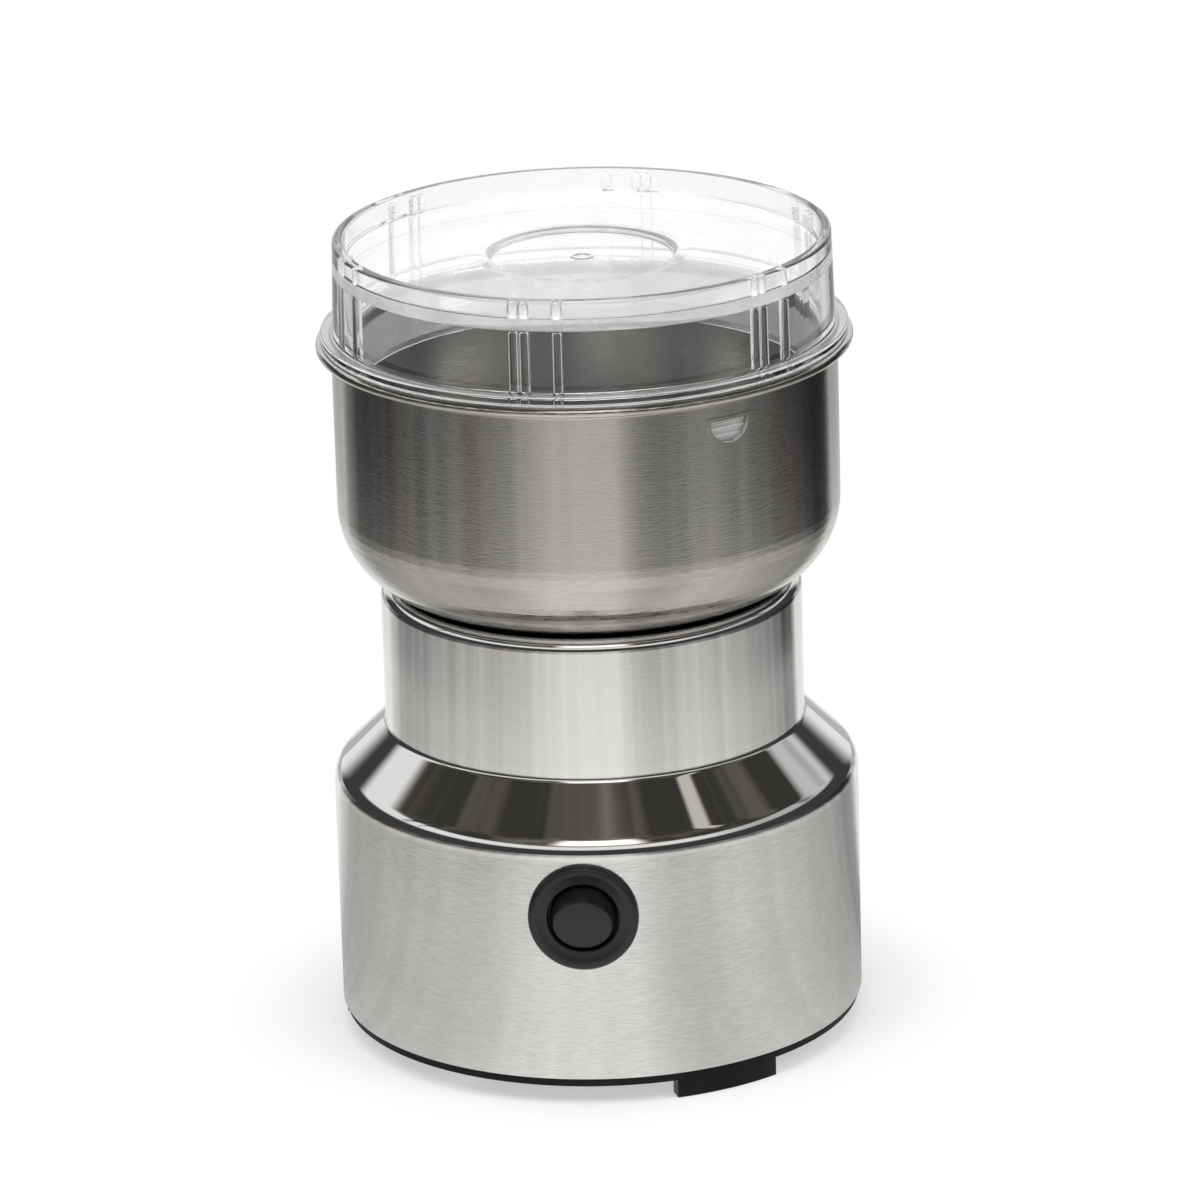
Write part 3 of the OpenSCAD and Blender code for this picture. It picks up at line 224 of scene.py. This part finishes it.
class Value:
    """A shader value that takes part in Python expressions."""

    def __init__(self, finish, socket):
        self.finish, self.socket = finish, socket

    def math(self, operation, *others, clamp=False):
        sockets = [self] + list(others)
        return self.finish.add("ShaderNodeMath", {"operation": operation, "use_clamp": clamp}, sockets)

    def __add__(self, other):
        return self.math("ADD", other)

    def __sub__(self, other):
        return self.math("SUBTRACT", other)

    def __rsub__(self, other):
        return self.finish.value(other).math("SUBTRACT", self)

    def __mul__(self, other):
        return self.math("MULTIPLY", other)

    def __pow__(self, other):
        return self.math("POWER", other)

    __radd__ = __add__
    __rmul__ = __mul__

    def step(self, low, high):
        """0 below low and 1 above high, with a smooth rise between. Low may be the larger, for a fall."""
        t = (self - low) * (1 / (high - low))
        t = t.math("MULTIPLY", 1.0, clamp=True)
        return t * t * (3 - 2 * t)

    def band(self, low, high, soft):
        """1 between low and high, with soft edges."""
        return self.step(low - soft, low + soft) * self.step(high + soft, high - soft)


class Finish:
    """A material, or the world, built up node by node."""

    def __init__(self, name=None, tree=None, **fixed):
        if tree is None:
            self.material = bpy.data.materials.new(name)
            self.material.use_nodes = True
            tree = self.material.node_tree
        self.tree = tree
        tree.nodes.clear()
        self.out = tree.nodes.new("ShaderNodeOutputWorld" if name is None else "ShaderNodeOutputMaterial")
        self.shader = None
        if fixed:
            self.shader = tree.nodes.new("ShaderNodeBsdfPrincipled")
            tree.links.new(self.shader.outputs[0], self.out.inputs[0])
            for socket, amount in fixed.items():
                self.shader.inputs[socket.replace("_", " ")].default_value = amount

    def add(self, kind, settings=(), values=(), output=0):
        """Adds a node: its settings first, then the values or links of its sockets, by order or by name."""
        node = self.tree.nodes.new(kind)
        for key, setting in dict(settings).items():
            if key == "stops":
                ramp = node.color_ramp
                while len(ramp.elements) < len(setting):
                    ramp.elements.new(0.5)
                for element, (place, colour) in zip(ramp.elements, setting):
                    element.position, element.color = place, (*colour, 1)
            else:
                setattr(node, key, setting)
        pairs = values.items() if isinstance(values, dict) else enumerate(values)
        for key, value in pairs:
            socket = node.inputs[key]
            if isinstance(value, Value):
                self.tree.links.new(value.socket, socket)
            elif value is not None:
                socket.default_value = value
        return Value(self, node.outputs[output])

    def value(self, number):
        """A plain number as a shader value."""
        return self.add("ShaderNodeMath", {"operation": "ADD"}, [number, 0.0])

    def drive(self, **links):
        """Links values to the shader's sockets."""
        for name, value in links.items():
            self.tree.links.new(value.socket, self.shader.inputs[name.replace("_", " ")])

    def place(self):
        """Object coordinates."""
        return self.add("ShaderNodeTexCoord", output=3)

    def parts(self, vector):
        """The three parts of a vector."""
        node = self.add("ShaderNodeSeparateXYZ", values=[vector]).socket.node
        return [Value(self, output) for output in node.outputs]

    def scaled(self, vector, x, y, z):
        """A vector stretched along each axis."""
        return self.add("ShaderNodeMapping", values={"Vector": vector, "Scale": (x, y, z)})

    def noise(self, vector, scale, detail=3.0, rough=0.5):
        """Soft noise from 0 to 1, about 0.5."""
        return self.add("ShaderNodeTexNoise", values={
            "Vector": vector, "Scale": scale, "Detail": detail, "Roughness": rough})

    def mix(self, amount, a, b):
        """A colour between a and b."""
        node = self.tree.nodes.new("ShaderNodeMix")
        node.data_type = "RGBA"
        for socket, value in ((node.inputs[0], amount), (node.inputs[6], a), (node.inputs[7], b)):
            if isinstance(value, Value):
                self.tree.links.new(value.socket, socket)
            else:
                socket.default_value = (*value, 1) if isinstance(value, tuple) else value
        return Value(self, node.outputs[2])

    def bump(self, height, strength, distance):
        """A normal that follows a height, with its depth in metres."""
        return self.add("ShaderNodeBump", values={
            "Strength": strength, "Distance": distance, "Height": height})


# Finishes

def make_brushed_steel():
    """The housing: brushed round the base and neck, polished on the shoulder, the edges and the lip."""
    f = Finish("brushed_steel", Metallic=1.0, Roughness=0.2, Anisotropic=0.6, Anisotropic_Rotation=0.25)
    p = f.place()
    x, y, z = f.parts(p)
    lines = f.noise(f.scaled(p, 12, 12, 4200), 1.0, 2.0, 0.6) * 0.4 + f.noise(
        f.scaled(p, 380, 380, 4600), 1.0, 2.0, 0.6).step(0.36, 0.64) * 0.6
    fine = f.noise(f.scaled(p, 60, 60, 14000), 1.0, 1.0)
    cloud = f.noise(f.scaled(p, 26, 26, 40), 1.0, 4.0, 0.6)
    upright = f.noise(f.scaled(p, 160, 160, 3), 1.0, 2.0)
    wall = z.step((shoulder_z + 0.2) * MM, (shoulder_z - 0.8) * MM)
    neck = z.band((neck_z + 1.6) * MM, (neck_top_z - 0.4) * MM, 0.5 * MM)
    brushed = wall + neck * 0.3
    worn = (lines * 0.6 + cloud * 0.8 + upright * 0.5 - 0.5) * brushed
    f.drive(
        Base_Color=f.mix(worn, (0.78, 0.775, 0.76), (0.62, 0.615, 0.60)),
        Roughness=0.035 + brushed * 0.16 + (lines - 0.5) * brushed * 0.16 + (cloud - 0.5) * brushed * 0.12,
        Normal=f.bump((lines + fine * 0.4) * brushed, 0.22, 0.00003))
    return f.material


def make_polished_steel(name, tint, rough, strength=0.2, stretched=0.0, painted_reflection=0.0):
    """Drawn stainless steel with fine lines round the axis. The last argument sets painted reflection:
    upright bands darkened into the base colour on the inside of the wall.
    """
    f = Finish(name, Metallic=1.0, Roughness=rough, Anisotropic=stretched, Anisotropic_Rotation=0.25)
    p = f.place()
    lines = f.noise(f.scaled(p, 14, 14, 4200), 1.0, 2.0, 0.6) * 0.4 + f.noise(
        f.scaled(p, 380, 380, 4200), 1.0, 2.0, 0.6).step(0.36, 0.64) * 0.6
    cloud = f.noise(f.scaled(p, 30, 30, 55), 1.0, 4.0, 0.6)
    upright = f.noise(f.scaled(p, 190, 190, 3), 1.0, 2.0)
    worn = tuple(c * 0.8 for c in tint)
    colour = f.mix(lines * 0.5 + cloud * 0.7 + upright * 0.5 - 0.35, tint, worn)
    if painted_reflection:
        # Painted reflection: upright bands, darkened into the base colour on the inside of the wall, stand
        # in for the light and dark surroundings mirrored there
        x, y, z = f.parts(p)
        turn = x.math("ARCTAN2", y) - math.radians(view_azimuth)
        far = (x * x + y * y).math("SQRT")
        inside = far.step((bowl_r - 0.3) * MM, (bowl_r - 0.6) * MM) * z.step(
            (bowl_z + 6) * MM, (bowl_z + 22) * MM)
        # Painted reflection: bright and dark bands round the axis, ten to a turn, set out from the camera's
        # azimuth
        band = (turn * 10).math("COSINE") * 0.5 + 0.5 + (upright - 0.5) * 0.6
        band = band.math("MULTIPLY", 1.0, clamp=True)
        colour = f.mix(inside * painted_reflection * (1 - band), colour, tuple(c * 0.25 for c in tint))
    f.drive(
        Base_Color=colour,
        Roughness=rough + (lines - 0.5) * 0.14 + (cloud - 0.5) * 0.12,
        Normal=f.bump(lines, strength, 0.00002))
    return f.material


def make_clear_plastic():
    """The lid: clear moulded plastic with faint flow marks, and rubbed dull on top of its disc. Light that
    has bounced about inside a wall goes straight on, as it does through so thin a piece."""
    f = Finish("clear_plastic", Roughness=0.015, IOR=1.49, Transmission_Weight=1.0)
    p = f.place()
    x, y, z = f.parts(p)
    far = (x * x + y * y).math("SQRT")
    flow = f.noise(f.scaled(p, 28, 28, 60), 1.0, 2.0)
    dust = f.noise(p, 900, 2.0)
    smear = f.noise(f.scaled(p, 60, 25, 30), 1.0, 4.0, 0.6)
    f.drive(
        Base_Color=f.mix(flow, (0.985, 0.99, 0.99), (0.955, 0.965, 0.965)),
        Roughness=0.012 + dust.step(0.6, 0.75) * 0.03,
        Normal=f.bump(flow, 0.1, 0.0004))
    disc = z.step((disc_z - 0.2) * MM, (disc_z + 0.2) * MM) * far.step(
        (tray_r + 0.2) * MM, (tray_r - 0.6) * MM)
    rubbed = far.step((skirt_r - 0.85) * MM, (skirt_r - 0.75) * MM) * z.band(
        (skirt_z + 1) * MM, (flange_z - 3) * MM, 0.3 * MM)
    dull = disc * (0.17 + smear.step(0.35, 0.75) * 0.18) + rubbed * 0.45
    white = f.add("ShaderNodeBsdfDiffuse", values=[(0.9, 0.91, 0.91, 1)])
    glass = f.add("ShaderNodeMixShader", values=[dull, Value(f, f.shader.outputs[0]), white])
    rays = f.add("ShaderNodeLightPath").socket.node
    bounced = Value(f, rays.outputs["Glossy Depth"]).math("GREATER_THAN", 1.5)
    straight = f.add("ShaderNodeBsdfTransparent", values=[(0.97, 0.975, 0.975, 1)])
    inner = f.add("ShaderNodeMixShader", values=[bounced, glass, straight])
    through = f.add("ShaderNodeBsdfTransparent", values=[(0.93, 0.94, 0.94, 1)])
    both = f.add("ShaderNodeMixShader", values=[Value(f, rays.outputs["Is Shadow Ray"]), inner, through])
    f.tree.links.new(both.socket, f.out.inputs[0])
    return f.material


def make_plastic(name, dark, pale, rough, grain=1500, strength=0.25, shine=0.5):
    """Moulded plastic or rubber with a grain, rubbed a little in places."""
    f = Finish(name, Roughness=rough, Specular_IOR_Level=shine)
    p = f.place()
    speck = f.noise(p, grain, 3.0, 0.6)
    cloud = f.noise(p, 70, 4.0, 0.6)
    f.drive(
        Base_Color=f.mix(cloud.step(0.35, 0.75) * 0.6 + speck * 0.4, dark, pale),
        Roughness=rough + (cloud - 0.5) * 0.16 + (speck - 0.5) * 0.12,
        Normal=f.bump(speck, strength, 0.00005))
    return f.material


def make_metal(name, tint, rough):
    """Plated, turned or drawn metal with a worked surface."""
    f = Finish(name, Metallic=1.0, Roughness=rough)
    p = f.place()
    work = f.noise(p, 700, 3.0)
    cloud = f.noise(p, 120, 4.0)
    dull = tuple(c * 0.78 for c in tint)
    f.drive(
        Base_Color=f.mix(cloud.step(0.3, 0.8), tint, dull),
        Roughness=rough + (work - 0.5) * 0.2,
        Normal=f.bump(work, 0.2, 0.00004))
    return f.material


def make_winding():
    """Enamelled copper wire, wound in layers."""
    f = Finish("copper", Metallic=0.85, Roughness=0.3)
    p = f.place()
    x, y, z = f.parts(p)
    wire = 0.6 * MM
    turns = (z * (2 * math.pi / wire)).math("SINE")
    cloud = f.noise(p, 260, 3.0)
    f.drive(
        Base_Color=f.mix(cloud, (0.62, 0.27, 0.11), (0.42, 0.16, 0.06)),
        Roughness=0.3 + (cloud - 0.5) * 0.2,
        Normal=f.bump(turns + cloud * 2, 0.5, 0.0001))
    return f.material


def make_core():
    """A stack of varnished sheets."""
    f = Finish("core_steel", Metallic=0.6, Roughness=0.5)
    p = f.place()
    x, y, z = f.parts(p)
    sheet = 0.5 * MM
    sheets = (z * (2 * math.pi / sheet)).math("SINE")
    cloud = f.noise(p, 160, 4.0)
    f.drive(
        Base_Color=f.mix(cloud, (0.16, 0.17, 0.19), (0.25, 0.24, 0.24)),
        Roughness=0.45 + (cloud - 0.5) * 0.3,
        Normal=f.bump(sheets, 0.4, 0.0001))
    return f.material


finishes = {
    "clear_plastic": make_clear_plastic(),
    "brushed_steel": make_brushed_steel(),
    # The bowl's steel carries painted reflection bands on the inside of its wall
    "bowl_steel": make_polished_steel(
        "bowl_steel", (0.64, 0.62, 0.595), 0.15, strength=0.5, stretched=0.75, painted_reflection=0.8),
    "polished_steel": make_polished_steel("polished_steel", (0.72, 0.71, 0.70), 0.14),
    "zinc_steel": make_metal("zinc_steel", (0.62, 0.63, 0.64), 0.35),
    "spring_steel": make_metal("spring_steel", (0.6, 0.61, 0.62), 0.25),
    "core_steel": make_core(),
    "black_plastic": make_plastic(
        "black_plastic", (0.006, 0.006, 0.0065), (0.013, 0.013, 0.0135), 0.36, grain=3000, strength=0.8),
    "dark_base": make_plastic("dark_base", (0.004, 0.004, 0.0042), (0.009, 0.009, 0.0095), 0.5, shine=0.2),
    "gloss_black": make_plastic(
        "gloss_black", (0.005, 0.005, 0.0055), (0.01, 0.01, 0.0105), 0.36, 900, 0.08, shine=0.4),
    "rubber": make_plastic("rubber", (0.012, 0.012, 0.012), (0.03, 0.03, 0.03), 0.62),
    "brass": make_metal("brass", (0.72, 0.55, 0.27), 0.3),
    "copper": make_winding(),
    "carbon": make_plastic("carbon", (0.03, 0.03, 0.032), (0.07, 0.07, 0.072), 0.5),
    "cream_plastic": make_plastic("cream_plastic", (0.72, 0.67, 0.55), (0.82, 0.78, 0.68), 0.4),
    "amber_plastic": make_plastic("amber_plastic", (0.5, 0.3, 0.05), (0.66, 0.44, 0.1), 0.25),
    "brown_wire": make_plastic("brown_wire", (0.15, 0.05, 0.02), (0.22, 0.08, 0.03), 0.35),
    "blue_wire": make_plastic("blue_wire", (0.02, 0.06, 0.3), (0.04, 0.1, 0.4), 0.35),
    "black_wire": make_plastic("black_wire", (0.01, 0.01, 0.01), (0.03, 0.03, 0.03), 0.35),
}
for part in frame["record"]["subparts"]:
    node = nodes[part["node"]]
    node.data.materials.clear()
    node.data.materials.append(finishes[part["material_slot"]])


# Housing

def housing_line(t):
    """The housing's outline, a thickness in from its outside."""
    return ([(base_r - t, shell_z)]
            + curve(base_r - edge_r, shoulder_z, edge_r - t, 0, lean_deg, 10)
            + curve(neck_r + hollow_r, neck_z, hollow_r + t, 180 + lean_deg, 180, 6)
            + curve(neck_r - lip_r, neck_top_z, lip_r - t, 0, 90)
            + [(deck_r + 0.65 + t, lip_z - t), (deck_r + t, deck_z - t), (deck_hole_r, deck_z - t)])


shell = turned(housing_line(0) + housing_line(shell_t)[::-1], 256)
carve(shell, rod(barrel_r + 0.2, base_r - 5, base_r + 5, 0, switch_z))
carve(shell, rod(inlet_r + 0.2, base_r - 5, base_r + 5, 180, inlet_z))
settle(shell, "housing", "brushed_steel", "housing_shell", smooth=40)


# Bowl

def bowl_line():
    """The bowl's outline: up its outside, round the rim and down its inside."""
    bend_r = bowl_r - bowl_round_r
    under = rim_z - roll_t
    roll = roll_t / 2
    by_window = [window_z - 4.0 + 0.5 * i for i in range(17)]
    outside = ([(bowl_hole_r, bowl_z)]
               + curve(bend_r, bowl_z + bowl_round_r, bowl_round_r, -90, 0, 16)
               + [(bowl_r, z) for z in by_window])
    rim = (curve(bowl_r + 0.8, under - 0.8, 0.8, 180, 90, 5)
           + curve(rim_r - roll, under + roll, roll, -90, 90, 10)
           + curve(bowl_r - bowl_t + mouth_r, rim_z - mouth_r, mouth_r, 90, 180, 6))
    inside = ([(bowl_r - bowl_t, z) for z in by_window[::-1]]
              + curve(bend_r, bowl_z + bowl_round_r, bowl_round_r - bowl_t, 0, -90, 16)
              + [(bowl_hole_r, bowl_z + bowl_t)])
    return outside + rim + inside


def window_tool(azimuth, shrink):
    """A D-shaped punch, flat on top, that goes through the bowl's wall. It is smaller than the window all
    round by shrink."""
    tool = rod(window_r - shrink, bowl_r - 6, bowl_r + 6, azimuth, window_z + window_r - window_h / 2)
    slab = block((30, 14, window_h - 2 * shrink), (0, -bowl_r, window_z), 0, azimuth)
    return carve(tool, slab, "INTERSECT")


bowl = turned(bowl_line(), 384)
for azimuth in window_azimuths:
    in_r, out_r = bowl_r - 0.3, bowl_r + 0.25
    low, high = window_z - 4.6, window_z + 4.6
    bead = turned([(in_r, low), (out_r, low), (out_r, high), (in_r, high)], 384)
    carve(bowl, carve(bead, window_tool(azimuth, 0.1), "INTERSECT"), "UNION")
    carve(bowl, window_tool(azimuth, 0.8))
settle(bowl, "bowl_body", "polished_steel", "bowl", finish="bowl_steel", smooth=40)


# Lid

def lid_line():
    """The lid's outline, from the middle of its disc out, up the wall and back over the tray to the round
    recess with its moulded ring."""
    top, sunk = disc_top_z, disc_top_z - 0.9
    return ([(0, disc_z), (tray_r + 0.2, disc_z), (skirt_in_r, flange_z), (skirt_in_r, skirt_z),
             (skirt_r - 0.5, skirt_z), (skirt_r, skirt_z + 1), (skirt_r, flange_z)]
            + curve(flange_r - 0.4, flange_z + 0.4, 0.4, -90, 0, 4)
            + curve(flange_r - 0.4, flange_z + flange_t - 0.4, 0.4, 0, 90, 4)
            + curve(wall_foot_r + 0.5, flange_z + flange_t + 0.5, 0.5, 270, 180, 4)
            + curve(wall_top_r - 0.5, lid_top_z - 0.5, 0.5, 0, 90, 5)
            + curve(tray_r + 0.3, lid_top_z - 0.3, 0.3, 90, 180, 4)
            + curve(tray_r - 0.6, top + 0.6, 0.6, 0, -90, 5)
            + [(20, top), (18.4, top - 0.06), (17.6, top - 0.16), (17.3, top - 0.36), (17.1, top - 0.8),
               (16.8, sunk), (2.2, sunk), (2.0, sunk + 0.3), (1.6, sunk + 0.3), (1.4, sunk), (0, sunk)])


lid = turned(lid_line(), 256)
# Pairs of ribs, a wide one of two half-round beads and a narrow one, below the disc and round the tray
rib_w, rib_round, rib_azimuths, rib_groups = 2.0, 0.9, (-12.9, -10.3, -2.6), 6
rib_rows = [(skirt_in_r, skirt_z + 1.5, disc_z + 0.1), (tray_r, disc_top_z - 0.1, lid_top_z - 0.6)]
ribs = []
for group in range(rib_groups):
    for first in rib_azimuths:
        for r, low, high in rib_rows:
            size, centre = (rib_w, rib_w, high - low), (0, -r + 0.1, (low + high) / 2)
            ribs.append(block(size, centre, rib_round, first + 360 / rib_groups * group, 5))
carve(lid, joined(ribs), "UNION")
# The snap tabs, sunk into the skirt behind the bowl's windows
tab_depth, ridge_w, ridge_h, ridge_pitch = 0.9, 8.4, 0.8, 1.35
for azimuth in window_azimuths:
    carve(lid, block((2 * window_r, tab_depth, window_h), (0, -skirt_r, window_z), 0, azimuth))
    ridges = [block((ridge_w, tab_depth, ridge_h), (0, -skirt_r + 0.6, window_z + ridge_pitch * k),
                    0.38, azimuth, 4) for k in (-1, 0, 1)]
    carve(lid, joined(ridges), "UNION")
settle(lid, "lid_moulding", "clear_plastic", "lid", body="lid")


# Push switch

bezel_r, bore_r, well_r = 10.3, 7.1, 6.55
button_r, button_face_r, stem_r, cup_r, collar_r = 6.25, 5.0, 2.2, 5.05, 6.9
button_y, button_low_y = base_r + 5.6, base_r + 0.9
switch_back_y = base_r - 6.5

# The barrel, the lip over the housing, the round rim, the dish, and the well that the button goes into
bezel_line = ([(barrel_r, switch_back_y), (barrel_r, base_r - 3), (bezel_r - 0.4, base_r - 3),
               (bezel_r, base_r - 0.8), (bezel_r, base_r + 0.5)]
              + curve(bezel_r - 1.1, base_r + 0.4, 1.1, 0, 80)
              + [(8.9, base_r + 1.46), (8.4, base_r + 1.36), (7.9, base_r + 1.16)]
              + curve(well_r + 0.4, base_r + 0.75, 0.4, 90, 180, 5)
              + [(well_r, base_r + 0.4), (well_r, base_r - 0.8), (bore_r, base_r - 0.8),
                 (bore_r, switch_back_y)])
bezel = turned(bezel_line, 160, place=outward(0, switch_z))
settle(bezel, "bezel", "black_plastic", "switch_bezel")

# The stem, the hollow behind the face, the collar that stops in the barrel, and the tapered side
collar_y = base_r - 1.05
button_line = [(0, switch_back_y), (stem_r, switch_back_y), (stem_r, base_r + 0.2), (cup_r, base_r + 0.2),
               (cup_r, base_r - 2.4), (collar_r, base_r - 2.4), (collar_r, collar_y), (button_r, collar_y),
               (button_r, base_r - 0.4), (button_face_r - 0.2, button_y + 1), (0, button_y + 1)]
button = turned(button_line, 128, closed=False, place=outward(0, switch_z))
pick(button)
bpy.ops.object.mode_set(mode="EDIT")
bpy.ops.mesh.select_all(action="SELECT")
slant = Vector((0, -(button_face_r + button_r), -(button_y - button_low_y))).normalized()
bpy.ops.mesh.bisect(plane_co=(0, -button_low_y * MM, (switch_z - button_r) * MM), plane_no=slant,
                    use_fill=True, clear_outer=True)
bpy.ops.mesh.region_to_loop()
bpy.ops.mesh.bevel(offset=0.45 * MM, segments=4, affect="EDGES")
bpy.ops.object.mode_set(mode="OBJECT")
settle(button, "button", "gloss_black", "button_cap", body="button")


# Small pieces with their edges rounded

softened("base_plate", 0.3, "black_plastic", finish="dark_base")
softened("cord_inlet", 0.3, "rubber")
softened("drive_collar", 0.2, "polished_steel", body="rotor")
softened("lower_blade", 0.12, "polished_steel", body="rotor")
softened("upper_blade", 0.12, "polished_steel", body="rotor")
softened("blade_washer", 0.12, "polished_steel", body="rotor")
softened("blade_nut", 0.15, "polished_steel", body="rotor")
softened("bowl_screws", 0.12, "polished_steel")
softened("base_screws", 0.12, "zinc_steel")
softened("shaft_seal", 0.2, "rubber")

# The button's spring is pressed together between the barrel and the button
spring = softened("button_spring", 0, "spring_steel", body="button", smooth=60)
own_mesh(spring)


# Floor, world and lamps

def make_floor():
    """White paper. The steel sees it as a studio table: pale in front, in patches of shade at the sides,
    and darker further out."""
    f = Finish("floor_paper")
    p = f.place()
    x, y, z = f.parts(p)
    far = (x * x + y * y).math("SQRT")
    turn = x.math("ARCTAN2", 0 - y) * (180 / math.pi) - view_azimuth
    shade = f.add("ShaderNodeValToRGB", {"stops": [((a + 180) / 360, (v, v, v)) for a, v in table_shades]},
                  [(turn + 180) * (1 / 360)])
    bright = Value(f, f.add("ShaderNodeRGBToBW", values=[shade]).socket)
    streaks = f.noise(f.add("ShaderNodeCombineXYZ", values=[turn * 0.16]), 1.0, 2.0, 0.6)
    bright = (bright + (streaks - 0.5) * 0.5).math("MULTIPLY", 1.0, clamp=True)
    middle, outer = far.step(0.225, 0.255), far.step(0.26, 0.42)
    level = 0.96 - middle * 0.04 - outer * 0.28
    depth = 0.72 + middle * 0.24
    seen = level * (1 - depth * (1 - bright ** (1 + outer * 1.7)))
    warm = (turn.band(-99, -90, 3) + turn.band(-56, -48, 2) + turn.band(92, 97, 2)) * outer
    mirror = f.add("ShaderNodeEmission", values={
        "Color": f.mix(warm, (1, 0.99, 0.975), (1, 0.82, 0.74)), "Strength": seen})
    paper = f.add("ShaderNodeBsdfDiffuse", values=[(0.86, 0.86, 0.86, 1)])
    white = f.add("ShaderNodeEmission", values=[(1, 1, 1, 1), 1.0])
    fade = 0.5 + far.step(0.049, 0.078) * 0.5
    near = f.add("ShaderNodeMixShader", values=[fade, paper, white])
    rays = f.add("ShaderNodeLightPath").socket.node
    clear = Value(f, rays.outputs["Is Camera Ray"]).math(
        "MAXIMUM", Value(f, rays.outputs["Is Transmission Ray"]))
    both = f.add("ShaderNodeMixShader", values=[clear, mirror, near])
    # Nothing to see from below, so that the underside can be looked at
    below = f.add("ShaderNodeNewGeometry", output=6)
    open_below = f.add("ShaderNodeMixShader", values=[below, both, f.add("ShaderNodeBsdfTransparent")])
    f.tree.links.new(open_below.socket, f.out.inputs[0])
    return f.material


# What the table shows at an angle from the camera's side
table_shades = [(-180, 1), (-140, 0.9), (-124, 0.36), (-108, 0.3), (-94, 0.42), (-62, 0.58), (-46, 0.6),
                (-22, 0.9), (-6, 1), (12, 1), (22, 0.66), (34, 0.6), (46, 0.72), (70, 0.62), (86, 0.46),
                (106, 0.32), (119, 0.1), (131, 0.12), (139, 0.86), (180, 1)]

bpy.ops.object.select_all(action="DESELECT")
bpy.ops.mesh.primitive_circle_add(vertices=96, radius=3.0, fill_type="NGON", location=(0, 0, -0.1 * MM))
floor = bpy.context.object
floor.name = "floor"
floor.data.materials.append(make_floor())

world = bpy.data.worlds.new("studio")
bpy.context.scene.world = world
world.use_nodes = True
w = Finish(tree=world.node_tree)
sky = w.add("ShaderNodeTexCoord", output=0)
x, y, z = w.parts(sky)
turn = x.math("ARCTAN2", 0 - y) * (180 / math.pi) - view_azimuth
rise = z.math("ARCSINE") * (180 / math.pi)
# A pale wall with a dark ceiling, a dark strip at the height of the table's far edge, a tall window and
# a soft lamp above the camera
dome = rise.step(32, 37)
edge = turn.band(-150, 150, 6) * rise.band(-7, 21, 2.5)
clutter = w.noise(w.scaled(sky, 3.2, 3.2, 1.2), 1.0, 3.0, 0.6)
window = turn.band(70, 78, 1.5) * rise.band(52, 66, 2)
curtain = turn.band(-101, -96, 1.2) + turn.band(-91, -88, 1) * 0.6
folds = turn.band(108, 116, 3) + turn.band(128, 134, 3) + turn.band(150, 160, 4)
glow = turn.band(-40, 24, 22) * 0.1
flash = turn.band(-22, 22, 6) * rise.band(39, 61, 3)
drapes = (curtain * 0.5 + folds * 0.3) * rise.band(24, 43, 4)
shaded = turn.band(60, 130, 20) * rise.band(21, 36, 3)
seen = (0.9 - dome * (0.9 - clutter.step(0.35, 0.7) * 0.12 - glow) - edge * 0.85 + window * 0.6
        + flash * 1.5 - drapes - shaded * 0.4)
seen = seen.math("MAXIMUM", 0.045)
reflected = w.add("ShaderNodeBackground", values={
    "Color": w.mix(dome, (1, 1, 1), (1, 0.93, 0.86)), "Strength": seen})
plain = w.add("ShaderNodeBackground", values=[(1, 1, 1, 1), 0.55])
white = w.add("ShaderNodeBackground", values=[(1, 1, 1, 1), 1.0])
rays = w.add("ShaderNodeLightPath").socket.node
inside = Value(w, rays.outputs["Transmission Depth"]).math("GREATER_THAN", 0.5)
softer = w.add("ShaderNodeBackground", values={"Color": (1, 1, 1, 1), "Strength": seen * 0.38 + 0.62})
lit = w.add("ShaderNodeMixShader", values=[Value(w, rays.outputs["Is Glossy Ray"]), plain, reflected])
through = w.add("ShaderNodeMixShader", values=[inside, lit, softer])
final = w.add("ShaderNodeMixShader", values=[Value(w, rays.outputs["Is Camera Ray"]), through, white])
w.tree.links.new(final.socket, w.out.inputs[0])


aim = Vector((0, 0, 0.07))


def lamp(name, place, size, watts):
    """A round lamp aimed at the grinder's middle, which mirrors don't show."""
    data = bpy.data.lights.new(name, "AREA")
    data.shape, data.size, data.energy = "DISK", size, watts
    made = bpy.data.objects.new(name, data)
    bpy.context.scene.collection.objects.link(made)
    made.location = place
    made.rotation_euler = (aim - Vector(place)).to_track_quat("-Z", "Y").to_euler()
    made.visible_glossy = False


lamp("key", (-0.6, -0.7, 1.3), 0.7, 5)
lamp("fill", (0.9, -0.5, 0.9), 0.6, 4)
lamp("top", (0.0, -0.3, 1.4), 0.9, 9)

# Camera, as fitted to the photograph
camera_place = (0.08369, -1.29421, 0.51881)
camera_pan = math.radians(view_azimuth) - 0.0012
camera_tilt, camera_roll = 0.3244, 0.0281
view = bpy.data.cameras.new("camera")
view.sensor_width, view.lens = 36, 216.34
view.clip_start, view.clip_end = 0.05, 20
camera_object = bpy.data.objects.new("camera", view)
bpy.context.scene.collection.objects.link(camera_object)
camera_object.matrix_world = (
    Matrix.Translation(camera_place)
    @ Matrix.Rotation(camera_pan, 4, "Z")
    @ Matrix.Rotation(math.pi / 2 - camera_tilt, 4, "X")
    @ Matrix.Rotation(-camera_roll, 4, "Z"))
bpy.context.scene.camera = camera_object
bpy.context.scene.view_settings.view_transform = "Standard"
